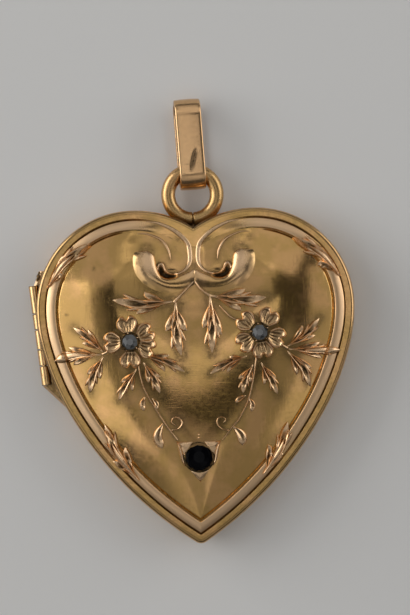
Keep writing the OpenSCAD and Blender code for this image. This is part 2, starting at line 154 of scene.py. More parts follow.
# The dark stone's setting: its middle, the points of its arms, distances from the middle with an arm's half
# width there, and the strip beside the stone on the right with its half width
SETTING_MIDDLE = (0.0, -7.32)
SETTING_POINTS = ((-2.25, -5.74), (2.2, -5.74), (0.08, -9.88))
SETTING_ARM = ((1.36, 0.9), (1.6, 0.72), (1.85, 0.54), (2.15, 0.34))
SETTING_WING = [
    (2.15, -5.85, 0.04), (1.9, -6.4, 0.15), (1.76, -7.0, 0.18), (1.64, -7.6, 0.14), (1.4, -8.2, 0.04),
]

# Columns: share of a stone's radius, share of its height, turn of its corners in steps
ROSE_CUT = [(0.42, 1.0, 0.5), (0.8, 0.8, 0.0), (1.0, 0.58, 0.5), (1.0, 0.5, 0.5), (0.55, 0.0, 0.0)]
GIRDLE_BAND = 2  # Number of the band between two rows whose faces stay whole

# Scroll of the left lobe. Columns: places along each form with its half width there, and for the outer line
# and the roll their polish, which on the roll also paints highlight, and their share of the height
OUTER_LINE = [
    (-4.7, 16.28, 0.04, 1.0, 0.5), (-3.4, 16.03, 0.13, 1.0, 0.55), (-1.85, 15.24, 0.21, 1.0, 0.6),
    (-0.66, 14.07, 0.24, 1.0, 0.6), (-0.4, 12.97, 0.25, 1.0, 0.6), (-0.48, 12.0, 0.22, 1.0, 0.6),
    (-0.95, 11.3, 0.15, 1.0, 0.8), (-1.8, 10.92, 0.12, 1.0, 1.0), (-2.6, 11.0, 0.12, 1.0, 1.0),
    (-2.98, 11.45, 0.15, 1.0, 1.0), (-3.25, 11.98, 0.17, 1.0, 1.0), (-3.58, 11.7, 0.13, 1.0, 1.0),
    (-3.6, 11.2, 0.1, 1.0, 1.0), (-3.3, 10.8, 0.05, 1.0, 1.0),
]
INNER_LINE = [
    (-5.6, 15.05, 0.03), (-4.6, 15.0, 0.08), (-3.2, 14.35, 0.12), (-2.5, 13.3, 0.12), (-2.33, 12.4, 0.03),
]
ROLL = [
    (-0.1, 11.3, 0.08, 0.8, 0.5), (-0.5, 10.8, 0.34, 0.6, 0.5), (-1.0, 10.5, 0.42, 0.4, 0.5),
    (-1.7, 10.24, 0.45, 0.2, 0.52), (-2.65, 10.16, 0.44, 0.2, 0.58), (-3.5, 10.42, 0.56, 0.4, 0.72),
    (-4.2, 10.95, 0.78, 0.8, 0.9), (-4.68, 11.65, 0.95, 1.0, 1.0), (-4.8, 12.3, 0.95, 1.0, 1.0),
    (-4.76, 12.8, 0.84, 1.0, 1.0), (-4.73, 13.12, 0.56, 0.9, 1.0), (-4.72, 13.3, 0.16, 0.9, 1.0),
]
# Places along the lobe's fading crest, its hollow ribbon and the dark hollow beside its roll
CREST = [(-6.3, 15.9), (-5.0, 15.82), (-4.1, 15.68), (-3.2, 15.3), (-2.5, 14.75), (-2.0, 14.0)]
RIBBON = [(-4.4, 15.4), (-3.1, 15.2), (-1.9, 14.4), (-1.3, 13.4), (-1.2, 12.4), (-1.7, 11.75)]
HOLLOW = [(-2.05, 10.8), (-2.7, 10.76), (-3.15, 10.98), (-3.3, 11.4)]

# Columns: place across a form, share of its height, polish, which also paints highlight on the raised edges,
# tarnish, which also paints shade in the troughs and along the edges
DISHED = [
    (-1, 0.1, 0.6, 0.3), (-0.92, 0.7, 1.0, 0.0), (-0.76, 1.0, 1.0, 0.0), (-0.56, 0.9, 1.0, 0.0),
    (-0.42, 0.5, 0.7, 0.6), (-0.28, 0.2, 0.3, 1.0), (0, 0.12, 0.3, 1.0), (0.28, 0.2, 0.3, 1.0),
    (0.42, 0.5, 0.7, 0.6), (0.56, 0.9, 1.0, 0.0), (0.76, 1.0, 1.0, 0.0), (0.92, 0.7, 1.0, 0.0),
    (1, 0.1, 0.6, 0.3),
]
CUPPED = [
    (-1, 0.1, 0.6, 0.3), (-0.85, 0.75, 1.0, 0.0), (-0.6, 1.0, 1.0, 0.0), (-0.3, 0.75, 1.0, 0.1),
    (0.05, 0.3, 0.5, 0.9), (0.35, 0.35, 0.6, 0.7), (0.6, 0.8, 1.0, 0.0), (0.85, 0.6, 1.0, 0.0),
    (1, 0.1, 0.6, 0.3),
]
BEADED = [
    (-1, 0.05, 0.3, 0.7), (-0.8, 0.5, 0.8, 0.2), (-0.45, 0.88, 1.0, 0.0), (0, 1.0, 1.0, 0.0),
    (0.45, 0.88, 1.0, 0.0), (0.8, 0.5, 0.8, 0.2), (1, 0.05, 0.3, 0.7),
]
FACETED = [(-1, 0.25, 0.7, 0.2), (-0.9, 0.45, 1, 0), (0, 1.0, 1, 0), (0.9, 0.45, 1, 0), (1, 0.25, 0.7, 0.2)]

# What sets each part's gold apart
GOLD_KINDS = {
    "cover_gold": {"matt": 0.06, "stain": 0.15},
    "relief_gold": {"wear": 0.5},
    "case_gold": {"base_polish": 0.12},
    "bail_gold": {"base_polish": 0.85, "matt": -0.08, "wear": 0.25, "stain": 0.1},
    "ring_gold": {"base_polish": 0.1, "matt": 0.1, "dull": 0.13, "wear": 1.5},
}

# Shape of the picture in pixels, and the height of the front that the view's width is measured at
PICTURE_WIDE, PICTURE_HIGH = 410, 615
VIEW_LEVEL = 3.0
# In metres: half the floor's width, its drop under the locket, how far off the lamps are, where they aim
FLOOR_HALF = 1.2
FLOOR_DROP = 0.00003
LAMP_REACH = 0.6
LAMP_AIM = (0, 0.003, 0.004)
# Columns: heading of the lamp from above and its tilt from overhead in degrees, its size in metres, its glow
LAMPS = [
    ("overhead_softbox", 10, 3.4, 0.1, 0.32, 0.67),
    ("crown_softbox", 98, 12.5, 0.21, 0.16, 0.31),
    ("crown_fill", 90, 24, 0.32, 0.1, 0.36),
    ("left_softbox", 186, 48, 0.5, 0.38, 0.86),
    ("left_fill", 186, 27, 0.3, 0.08, 0.11),
    ("near_softbox", 261, 31.5, 0.46, 0.4, 0.25),
    ("near_left_fill", 236, 46, 0.2, 0.26, 0.14),
    ("right_softbox", -2, 51, 0.56, 0.31, 0.36),
    ("low_right_softbox", -45, 38, 0.32, 0.38, 0.2),
    ("far_left_softbox", 128, 44, 0.42, 0.36, 0.35),
    ("far_right_softbox", 72, 44, 0.42, 0.34, 0.46),
    ("left_key", 160, 71, 0.6, 0.36, 2.6),
    ("right_key", 20, 71, 0.6, 0.36, 1.45),
    ("far_key", 92, 68, 0.36, 0.2, 0.3),
]


def rounded(across):
    """A row of the roll's section, steep on its inner side and running out softly on its outer side."""
    outer = across > 0
    height = (1 - across ** 2) ** (1.1 if outer else 0.42)
    # The polish is painted highlight across the roll: full over the crest and the steep inner side, fading to
    # a quarter on the soft outer side; the steep edge gets a little painted shade
    polish_and_highlight = 1 - 0.75 * across if outer else 0.3 + 0.7 * min(1, 4 * (1 + across))
    return across, height, polish_and_highlight, 0.3 * (across < -0.99)


ROUNDED = [rounded(across) for across in np.sin(np.linspace(-1, 1, 27) * QUARTER).round(5)]


def length(label, text, millimetres):
    """A size that the sidebar shows in the scene's unit."""
    return FloatProperty(name=label, description=text, default=millimetres * MM, unit="LENGTH", precision=5)


def angle(label, text, degrees):
    return FloatProperty(name=label, description=text, default=np.radians(degrees), subtype="ANGLE")


def factor(label, text, value):
    return FloatProperty(name=label, description=text, default=value, min=0.0, max=1.0, subtype="FACTOR")


def colour(label, text, value):
    return FloatVectorProperty(name=label, description=text, default=value, min=0.0, max=1.0, subtype="COLOR")


class LocketHeart(bpy.types.PropertyGroup):
    """Outline and heights of the two halves."""

    lobe_x: length("Lobe Offset", "Distance of each lobe's top from the middle line", 6.05)
    lobe_y: length("Lobe Top", "Height of the lobes' tops above the middle of the back", 17.4)
    crown_r: length("Crown Radius", "Radius from the cleft to a lobe's top", 11.1)
    shoulder_r: length("Shoulder Radius", "Radius from a lobe's top to the widest place", 9.85)
    hip_r: length("Hip Radius", "Radius just below the widest place", 15)
    hip_turn: angle("Hip Turn", "Turn of the hip arc", 14)
    flank_r: length("Flank Radius", "Radius of the flank", 27)
    flank_turn: angle("Flank Turn", "Turn of the flank arc", 16)
    side_r: length("Side Radius", "Radius of the side that runs down to the point", 38)
    point_r: length("Point Radius", "Radius of the rounded point", 0.9)
    inner_point_r: length("Inner Point Radius", "Least radius of the point, inside the edge", 0.12)
    seam_z: length("Seam Height", "Height of the seam between the halves", 2.6)
    rim_z: length("Rim Height", "Height of the cover's flat rim", 3.75)
    corner_w: length("Corner Width", "Width of the rim's rounded outer corner", 0.38)
    corner_h: length("Corner Height", "Height of the rim's rounded outer corner", 0.42)
    border_at: length("Border Place", "Distance of the raised border's middle from the edge", 1.5)
    border_w: length("Border Half Width", "Half the width of the raised border", 0.52)
    border_h: length("Border Height", "Height of the raised border above the rim", 0.31)
    outer_groove: length("Outer Groove", "Depth of the groove outside the border", 0.13)
    inner_groove: length("Inner Groove", "Depth of the groove inside the border", 0.05)
    dome_h: length("Pillow Rise", "Rise of the pillowed front above the rim", 2)
    dome_in: length("Pillow Start", "Distance from the edge where the pillow starts", 2.05)
    dome_reach: length("Pillow Reach", "Distance over which the pillow rises", 11.4)
    skin_t: length("Cover Skin", "Thickness of the cover's sheet", 0.45)
    wall_t: length("Wall", "Thickness of the side wall at the seam", 0.5)
    hollow_z: length("Cover Hollow", "Height of the cover's hollow under the rim", 3.25)
    floor_t: length("Case Floor", "Thickness of the case's floor", 0.5)
    lip_in: length("Lip Offset", "Distance of the snap lip from the edge", 0.62)
    lip_t: length("Lip Width", "Width of the snap lip", 0.36)
    lip_h: length("Lip Height", "Height of the snap lip above the seam", 0.45)


class LocketRelief(bpy.types.PropertyGroup):
    """Heights of the ornament on the front."""

    leaf_h: length("Leaf Height", "Height of the leaves above the front", 0.3)
    stem_h: length("Stem Height", "Height of the stems above the front", 0.15)
    border_leaf_h: length("Border Leaf Height", "Height of the leaves on the border", 0.36)
    petal_in: length("Petal Root", "Distance of a petal's root from the flower's middle", 0.98)
    petal_out: length("Petal Tip", "Distance of a petal's tip from the flower's middle", 2.66)
    petal_w: length("Petal Half Width", "Half the width of a petal", 1.1)
    petal_h: length("Petal Height", "Height of a petal's raised edge", 0.36)
    line_h: length("Scroll Line Height", "Height of the scrolls' thin raised lines", 0.2)
    roll_h: length("Scroll Roll Height", "Height of the scrolls' rolled ends", 0.52)
    ribbon_sink: length("Ribbon Hollow", "Depth of the scroll's hollow ribbon", 0.09)
    setting_h: length("Setting Height", "Height of the dark stone's pointed setting", 0.3)


class LocketHinge(bpy.types.PropertyGroup):
    """Barrel, bearer plate and their gaps."""

    middle: FloatVectorProperty(
        name="Barrel Middle", description="Middle of the barrel", default=(-0.01558, 0.00515, 0.0026),
        subtype="TRANSLATION",
    )
    lean: angle("Barrel Lean", "Lean of the barrel from the middle line", 6.3)
    barrel_r: length("Barrel Radius", "Radius of the knuckles", 0.5)
    room: length("Barrel Room", "Clearance of each half round the other half's knuckles", 0.1)
    gap: length("Knuckle Gap", "Gap between two knuckles", 0.08)
    plate_t: length("Plate Thickness", "Thickness of the bearer plate", 0.48)
    bevel: length("Plate Bevel", "Width of the bright bevel on the plate's edge", 0.2)


class LocketBail(bpy.types.PropertyGroup):
    """Jump ring and strap bail."""

    ring_y: length("Ring Middle", "Distance of the ring's middle from the middle of the back", 18.866)
    ring_z: length("Ring Height", "Height of the ring's middle above the back", 1.8)
    ring_r: length("Ring Radius", "Radius of the ring's middle line", 2.43)
    wire_r: length("Wire Radius", "Half the ring wire's thickness", 0.7)
    pivot_y: length("Bail Pivot", "Distance of the bail's lower bend from the middle of the back", 21.036)
    strap_w: length("Strap Width", "Width of the strap", 2.6)
    strap_t: length("Strap Thickness", "Thickness of the strap", 0.55)
    crown: length("Strap Crown", "Fall of the strap's rounded face towards its edges", 0.06)
    bend_r: length("Bend Radius", "Inner radius of the strap's bends", 1.15)
    strap_l: length("Strap Length", "Distance between the strap's two bends", 5.75)
    lean: angle("Bail Lean", "Lean of the bail across the ring", 3.1)
    twist: angle("Bail Twist", "Twist of the bail on its own length", 4)
    drop: angle("Bail Drop", "Fall of the bail's free end towards the table", 0.134)


class LocketStones(bpy.types.PropertyGroup):
    """Radii and colours of the three stones."""

    flower_r: length("Flower Stone Radius", "Radius of each flower's stone", 0.79)
    point_r: length("Dark Stone Radius", "Radius of the dark stone above the point", 1.36)
    grey: colour("Grey Stone", "Colour of the flowers' rose-cut stones", (0.026, 0.027, 0.025))
    dark: colour("Dark Stone", "Colour of the nearly black stone", (0.002, 0.002, 0.003))


class LocketGold(bpy.types.PropertyGroup):
    """Colours and wear of the gold."""

    ground: colour("Satin Gold", "Gold of the matt ground", (0.72, 0.47, 0.185))
    # The cut gold is pinker and lighter: partly the bright-cut finish, partly painted highlight on the raised
    # relief
    bright: colour("Cut Gold", "Pinker gold of the bright-cut relief", (0.90, 0.60, 0.345))
    strap: colour("Bail Gold", "Smoother, yellower gold of the bail", (0.94, 0.585, 0.295))
    # This brown serves the tarnish and stains, and also the painted shade in grooves, corners and at the feet
    # of the relief
    tarnish: colour("Tarnish", "Brown that lies in the grooves", (0.05, 0.035, 0.019))
    ground_rough: factor("Satin Roughness", "Roughness of the matt ground", 0.12)
    bright_rough: factor("Cut Roughness", "Roughness of the bright-cut relief", 0.28)


class LocketStudio(bpy.types.PropertyGroup):
    """Camera, floor and lamps."""

    camera_h: length("Camera Height", "Height of the camera above the front", 450)
    view_w: length("View Width", "Width that the picture takes in", 41)
    view_x: length("View Middle X", "Middle of the picture, to the right", 0.97)
    view_y: length("View Middle Y", "Middle of the picture, towards the bail", 7.53)
    roll: angle("Camera Roll", "Turn of the camera about its own axis", -1.47)
    floor: colour("Floor", "Colour of the plain floor", (0.82, 0.81, 0.79))
    sky: factor("Fill Light", "Strength of the even light from all round", 0.05)


def millimetres(group):
    """The group's lengths in millimetres and its angles in radians, by name."""
    values = {}
    for prop in group.bl_rna.properties:
        if prop.type == "FLOAT" and not prop.is_array:
            value = getattr(group, prop.identifier)
            values[prop.identifier] = value / MM if prop.unit == "LENGTH" else value
    return SimpleNamespace(**values)


def turned(radians):
    """The step of length 1 that heads this way."""
    return np.array([np.cos(radians), np.sin(radians)])


def ease(t):
    """Soft climb from 0 to 1."""
    t = np.clip(t, 0, 1)
    return t * t * (3 - 2 * t)


def bell(gap, width):
    """1 at no gap, and next to nothing from twice the width on."""
    return np.exp(-(gap / width) ** 2)


def fringe(gap, reach, fade):
    """1 up to the reach, and fading out beyond it."""
    return np.exp(-np.clip(gap - reach, 0, None) / fade)


def mirrored(rows, side):
    """The rows as they are for a side of 1, or with their first column turned over for -1."""
    return [(side * first, *rest) for first, *rest in rows]


def smooth_path(rows, count):
    """Evenly spaced places on the smooth curve through the rows; further columns are carried along."""
    rows = np.asarray(rows, float)
    ends = np.vstack([2 * rows[0] - rows[1], rows, 2 * rows[-1] - rows[-2]])
    t = np.linspace(0, 1, 12, endpoint=False)[:, None]
    fine = [
        0.5 * (2 * b + (c - a) * t + (2 * a - 5 * b + 4 * c - d) * t ** 2 + (3 * b - a - 3 * c + d) * t ** 3)
        for a, b, c, d in zip(ends, ends[1:], ends[2:], ends[3:])
    ]
    fine = np.vstack(fine + [rows[-1:]])
    along = np.r_[0, np.cumsum(np.hypot(*np.diff(fine[:, :2], axis=0).T))]
    return np.column_stack([np.interp(np.linspace(0, along[-1], count), along, column) for column in fine.T])


def nearest(path, places):
    """Distance of each place from a path, and how far along it the nearest point lies, from 0 to 1."""
    gaps = np.hypot(places[:, None, 0] - path[None, :, 0], places[:, None, 1] - path[None, :, 1])
    index = gaps.argmin(1)
    return gaps[np.arange(len(places)), index], index / (len(path) - 1)


class Heart:
    """The locket's outline and the height of its front, in millimetres."""

    def __init__(self, settings, relief):
        self.size = s = millimetres(settings)
        self.relief = millimetres(relief)
        self.crown_c = np.array([s.lobe_x, s.lobe_y - s.crown_r])
        self.shoulder_c = np.array([s.lobe_x, s.lobe_y - s.shoulder_r])
        self.hip_c = self.shoulder_c + [s.shoulder_r - s.hip_r, 0]
        self.flank_c = self.hip_c + (s.hip_r - s.flank_r) * turned(-s.hip_turn)
        self.side_c = self.flank_c + (s.flank_r - s.side_r) * turned(-s.hip_turn - s.flank_turn)
        self.cleft_y = self.top(0.0)
        self.insets = np.unique(np.round(np.r_[
            s.corner_w * (1 - np.cos(np.linspace(0, QUARTER, 10))), np.linspace(0.42, 0.8, 6),
            np.linspace(0.82, s.border_at - s.border_w, 8),
            s.border_at - s.border_w * np.cos(np.linspace(0, HALF_TURN, 25)), np.linspace(2.04, FIELD_IN, 10),
        ], 4))[::-1]
        self.scrolls = [
            [smooth_path(mirrored(rows, side), 40) for rows in (CREST, RIBBON, HOLLOW)] for side in (1, -1)
        ]
        self.leaf_middles = [np.mean(row[:3], axis=0) for row in BORDER_LEAVES]

    def top(self, inset):
        s = self.size
        return self.crown_c[1] + np.sqrt((s.crown_r - inset) ** 2 - s.lobe_x ** 2)

    def arcs(self, inset=0.0):
        """Arcs of the right half at a distance inside the edge: centre, radius, start, end."""
        s = self.size
        side, crown = s.side_r - inset, s.crown_r - inset
        tip = max(s.point_r - inset, s.inner_point_r)
        tip_y = self.side_c[1] - np.sqrt((side - tip) ** 2 - self.side_c[0] ** 2)
        tip_turn = np.arctan2(tip_y - self.side_c[1], -self.side_c[0])
        lean = s.hip_turn + s.flank_turn
        return [
            (np.array([0, tip_y]), tip, -QUARTER, tip_turn),
            (self.side_c, side, tip_turn, -lean),
            (self.flank_c, s.flank_r - inset, -lean, -s.hip_turn),
            (self.hip_c, s.hip_r - inset, -s.hip_turn, 0.0),
            (self.shoulder_c, s.shoulder_r - inset, 0.0, QUARTER),
            (self.crown_c, crown, QUARTER, HALF_TURN - np.arccos(s.lobe_x / crown)),
        ]

    def outline(self, inset, steps):
        """The whole outline at a distance inside the edge, from the point round by the right."""
        right = [
            centre + radius * turned(start + (end - start) * k / count)
            for (centre, radius, start, end), count in zip(self.arcs(inset), steps)
            for k in range(count)
        ]
        right = np.array(right + [[0, self.top(inset)]])
        return np.vstack([right, right[-2:0:-1] * [-1, 1]])

    def side_depth(self, x, y, across):
        """Distance inside the right half's edge, also for places across the middle line."""
        best = np.hypot(x, y - self.cleft_y)
        for index, (centre, radius, start, end) in enumerate(self.arcs()):
            way = np.arctan2(y - centre[1], x - centre[0])
            low = start - 0.7 if across and index == 1 else start - 0.001
            inside = (way >= low) & (way <= end + 0.001)
            best = np.minimum(best, np.where(inside, radius - np.hypot(x - centre[0], y - centre[1]), 99))
        return best

    def depth(self, places):
        """Distance inside the edge, rounded off along the middle line so that the pillow has no crease."""
        x, y = np.abs(places[:, 0]), places[:, 1]
        near, far = self.side_depth(x, y, False), self.side_depth(-x, y, True)
        soft = np.clip(0.8 * (near - 2.2), 1e-6, 5)
        shared = np.clip(soft - (far - near), 0, None) / soft
        return near - shared ** 2 * soft / 4

    def from_cleft(self, places):
        """0 by the cleft, up to 1 round the rest of the heart."""
        x, y = np.abs(places[:, 0]), places[:, 1]
        return np.where(y > LOBES_FROM, ease((x - 2.4) / 4.8), 1.0)

    def border_share(self, places):
        """1 where the raised border stands full, less under its leaves and where the scrolls take over."""
        share = self.from_cleft(places)
        for middle in self.leaf_middles:
            gap = np.hypot(places[:, 0] - middle[0], places[:, 1] - middle[1])
            share = share * (1 - 0.7 * bell(gap, 1.7))
        return share

    def widening(self, places):
        """0 along the border, up to 1 where its inner side spreads out towards the scrolls."""
        x, y = np.abs(places[:, 0]), places[:, 1]
        return np.where(y > LOBES_FROM, ease((8.6 - x) / 3.2), 0.0)

    def front(self, places, inset=None):
        """Height of the front, with its border and the hollows of the scrolls but without the leaves."""
        s = self.size
        places = np.asarray(places, float).reshape(-1, 2)
        depth = self.depth(places)
        if inset is None:
            inset = depth
        rise = s.dome_h * (1 - (1 - np.clip((depth - s.dome_in) / s.dome_reach, 0, 1)) ** 2.6)
        z = s.rim_z + rise + self.edge(inset, self.border_share(places), self.widening(places))
        near = (places[:, 1] > 9) & (np.abs(places[:, 0]) < 8)
        if near.any():
            z[near] += self.scroll_form(places[near])
        return z

    def edge(self, inset, share, wide):
        """Height over the rim: its rounded corner, and the share of the border with a groove on each side."""
        s = self.size
        corner = np.clip(1 - inset / s.corner_w, 0, 1)
        across = np.clip((inset - s.border_at) / s.border_w, -1, 1)
        climb = np.sin(QUARTER * np.clip((across + 1) / 1.7, 0, 1))
        fall = np.sqrt(1 - np.clip((across - 0.7) / 0.3, 0, 1) ** 2)
        slope = 1 - ease((inset - s.border_at - 0.5 * s.border_w) / 2.0)
        bead = climb * ((1 - wide) * fall + wide * slope)
        grooves = s.outer_groove * bell(inset - OUTER_GROOVE_IN, 0.055)
        grooves = grooves + (1 - wide) * s.inner_groove * bell(inset - INNER_GROOVE_IN, 0.1)
        return share * (s.border_h * bead - grooves) - s.corner_h * (1 - np.sqrt(1 - corner ** 2))

    def grime_and_shade(self, places, hinge):
        """Brown painted in the corners by the ring's solder and beside the hinge: painted shade where these
        corners lie in shadow, with some dirt.
        """
        flat = places[:, :2] - hinge.middle[:2]
        beside = ease((7.2 - np.abs(flat @ hinge.way)) / 2.6) * (np.abs(flat @ hinge.inward) < 1.6)
        beside *= bell(places[:, 2] - hinge.middle[2], 1.9)
        near = bell(np.hypot(places[:, 0], places[:, 1] - self.cleft_y), 2.4)
        return np.maximum(0.8 * beside, 0.95 * near)

    def scroll_form(self, places):
        """Rise and fall of the front beside the scrolls: fading crest, hollow ribbon, dark hollow."""
        change = np.zeros(len(places))
        for crest, ribbon, hollow in self.scrolls:
            gap, along = nearest(crest, places)
            change += 0.05 * bell(gap, 0.5 + 0.5 * along) * ease(along / 0.35) * (1 - along) ** 0.7
            gap, along = nearest(ribbon, places)
            fade = ease((along - 0.25) / 0.5) * ease((1.02 - along) / 0.3)
            change -= self.relief.ribbon_sink * fade * bell(gap, 0.75)
            gap, _ = nearest(hollow, places)
            change -= 0.4 * bell(gap, 0.26)
        return change


class Gathered:
    """Closed forms gathered into one mesh with its marks: polish that also paints highlight, tarnish that
    also paints shade.
    """

    def __init__(self):
        self.points, self.faces, self.marks = [], [], []

    def add(self, points, faces, marks):
        start = len(self.points)
        self.points.extend(map(tuple, points))
        self.faces.extend(tuple(start + k for k in face) for face in faces)
        self.marks.extend(map(tuple, marks))

    def piece(self, name, body, slot, material):
        add_piece(name, self.points, self.faces, body, material, marks=self.marks)


class Relief(Gathered):
    """Forms that stand on the front."""

    def __init__(self, heart):
        super().__init__()
        self.heart = heart

    def strip(self, rows, height, section, count=26, blunt=0.3, trough=False, foot=0.0):
        """A form along a path of places, half widths and maybe polish, which also paints highlight, and
        height, with a section across it.

        A trough is filled up towards both ends, and its painted shade is taken away there. A foot widens the
        section's outer side where the form is thin.
        """
        path = smooth_path(rows, count)
        middle, half = path[:, :2], path[:, 2]
        way = np.gradient(middle, axis=0)
        way /= np.hypot(*way.T)[:, None]
        across = np.column_stack([-way[:, 1], way[:, 0]])
        section = np.array(section)
        # The two foot rows are painted fully dark: painted shade where the form meets the front
        full = np.vstack([section, [section[-1, 0], 0, 0, 1], [section[0, 0], 0, 0, 1]])
        foot = foot * (1 - half / 1.6) * np.minimum(1, half / 0.4)
        reach = half[:, None] + np.maximum(0, foot[:, None] * np.sign(full[None, :, 0]))
        places = middle[:, None] + (full[None, :, 0] * reach)[..., None] * across[:, None]
        t = np.linspace(0, 1, count)
        tall = height * (blunt + (1 - blunt) * np.sqrt(np.clip(4 * t * (1 - t), 0, 1)))
        crown = np.where(np.abs(full[:, 0]) < 0.8, np.maximum(full[:, 1], 0.95), full[:, 1])
        open_share = (ease(t / 0.3) * ease((0.86 - t) / 0.25) if trough else np.ones(count))[:, None]
        if path.shape[1] > 4:
            tall = tall * path[:, 4]
        rise = tall[:, None] * (open_share * full[None, :, 1] + (1 - open_share) * crown[None])
        rise[:, -2:] = -RELIEF_ROOT
        shown = np.maximum(open_share, np.abs(full[None, :, 0]) > 0.9)
        tarnish = shown * full[None, :, 3]
        polish_and_highlight = 1 - shown * (1 - full[None, :, 2])
        if path.shape[1] > 3:
            polish_and_highlight = polish_and_highlight * path[:, 3:4]
        flat = places.reshape(-1, 2)
        n = len(full)
        faces = [
            (n * i + k, n * i + (k + 1) % n, n * (i + 1) + (k + 1) % n, n * (i + 1) + k)
            for i in range(count - 1) for k in range(n)
        ]
        last = n * (count - 1)
        faces += [tuple(range(n - 1, -1, -1)), tuple(last + k for k in range(n))]
        points = at_height(flat, self.heart.front(flat) + rise.ravel())
        self.add(points, faces, marks_of(polish_and_highlight.ravel(), tarnish.ravel()))

    def blade(self, root, middle, tip, half, height, section=DISHED, belly=0.6, count=26):
        """A pointed blade that is widest at its belly."""
        t = np.linspace(0, 1, 9)
        places = smooth_path([root, middle, tip], 9)
        power = belly / (1 - belly) * 0.6
        shape = t ** power * (1 - t) ** 0.6
        shape = half * np.maximum(shape / shape.max(), np.linspace(0.18, 0.02, 9))
        self.strip(np.column_stack([places, shape]), height, section, count, trough=section is not BEADED)

    def leaf(self, row, height):
        """A leaf of a long middle blade between two side lobes."""
        root, middle, tip, half, *lobes = row
        root, middle, tip = map(np.array, (root, middle, tip))
        spine = smooth_path([root, middle, tip], 21)
        for lobe in lobes:
            lobe = np.array(lobe)
            start = spine[2]
            bow = 0.5 * (spine[7] + lobe) + 0.16 * (lobe - spine[10])
            self.blade(start, bow, lobe, 0.4 * half, 0.85 * height, CUPPED, belly=0.66, count=20)
        for step, side in ((12, 1), (14, -1)):
            way = spine[step + 3] - spine[step]
            across = side * np.array([-way[1], way[0]]) / np.hypot(*way)
            bow, tooth = spine[step - 1] + 0.42 * half * across, spine[step + 3] + 0.8 * half * across
            self.blade(spine[step - 6], bow, tooth, 0.22 * half, 0.8 * height, BEADED, count=16)
        self.blade(root, middle, tip, 0.52 * half, height, belly=0.62)

    def petal(self, centre, heading, size):
        """A dished petal with a raised, notched edge and three cuts towards its root."""
        across, along = 23, 15
        u = np.linspace(-1, 1, across)[None, :]
        v = np.linspace(0, 1, along)[:, None]
        tip = size.petal_out * (1 - 0.15 * bell(u, 0.2) - 0.2 * u ** 4)
        out = size.petal_in + (tip - size.petal_in) * v
        wide = u * size.petal_w * (0.42 + 0.6 * np.sin(QUARTER * np.minimum(v / 0.7, 1))) * (1 - 0.1 * v ** 4)
        rim = np.maximum(bell(1 - np.abs(u) - 0.12, 0.12), bell(1 - v - 0.1, 0.1))
        edge = np.minimum(np.minimum(1 - np.abs(u), 1 - v) / 0.1, 1)
        cut = sum(bell(u - place, 0.09) for place in (-0.38, 0, 0.38))
        cut = cut * ease(v / 0.2) * ease((0.8 - v) / 0.2)
        cup = 0.42 + 0.58 * rim - 0.3 * cut + 0.25 * ease((0.3 - v) / 0.3)
        rise = size.petal_h * (0.15 + 0.85 * edge) * cup
        way, side = turned(np.radians(heading)), turned(np.radians(heading) + QUARTER)
        places = np.array(centre) + out[..., None] * way + wide[..., None] * side
        # The raised edge takes the pinker gold, partly as painted highlight; the dish and the three cuts are
        # darkened with tarnish and painted shade
        self.sheet(places, rise, np.clip(rim + 0.6, 0, 1), np.clip(0.75 - rim, 0, 1) * 0.45 + 0.5 * cut)

    def sheet(self, places, rise, polish_and_highlight, tarnish):
        """A closed form from a grid of places: its top stands above the front and its foot is sunk in it."""
        flat = places.reshape(-1, 2)
        base = self.heart.front(flat)
        top, foot = at_height(flat, base + rise.ravel()), at_height(flat, base - RELIEF_ROOT)
        n = rise.size
        at = np.arange(n).reshape(rise.shape).tolist()
        faces = []
        for near, far in zip(at, at[1:]):
            for a, b, c, d in zip(near, far, far[1:], near[1:]):
                faces += [(a, b, c, d), (n + d, n + c, n + b, n + a)]
        loop = at[0] + [row[-1] for row in at[1:]] + at[-1][-2::-1] + [row[0] for row in at[-2:0:-1]]
        faces += [(a, b, n + b, n + a) for a, b in zip(loop, loop[1:] + loop[:1])]
        marks = marks_of(polish_and_highlight.ravel(), tarnish.ravel())
        # The foot is painted fully dark: painted shade where the form meets the front
        self.add(np.vstack([top, foot]), faces, np.vstack([marks, np.tile([0.0, 1.0], (n, 1))]))

    def grain(self, place, radius, rise):
        """A small raised bead."""
        points, faces = ball(5, 8)
        points = points * radius
        points[:, 2] += self.heart.front([place])[0] + rise
        points[:, :2] += place
        self.add(points, faces, np.tile([1.0, 0.0], (len(points), 1)))


class Solder(Gathered):
    """Lumps of solder."""

    def lump(self, centre, radii, rough):
        points, faces = ball(14, 22)
        swell = [1 + rough * noise.noise(Vector(p) * 1.7 + Vector(centre)) for p in points]
        points = np.array(centre) + points * np.array(radii) * np.array(swell)[:, None]
        # Each lump is painted nearly all brown: dirt and painted shade in the corner under the ring and
        # beside the hinge
        self.add(points, faces, [(0.1, 0.95)] * len(points))


def at_height(flat, z):
    """Flat places lifted to one height, or each to its own."""
    return np.column_stack([flat, np.broadcast_to(z, len(flat))])


def marks_of(polish_and_highlight, tarnish):
    """Rows of the polish mark, which also paints highlight, and the tarnish mark, which also paints shade;
    one of the two may be a single number.
    """
    return np.column_stack(np.broadcast_arrays(polish_and_highlight, tarnish))


def level_ring(centre, radius, z, turns):
    """Places of a level ring at the given turns."""
    return at_height(np.array(centre) + radius * turned(turns).T, z)


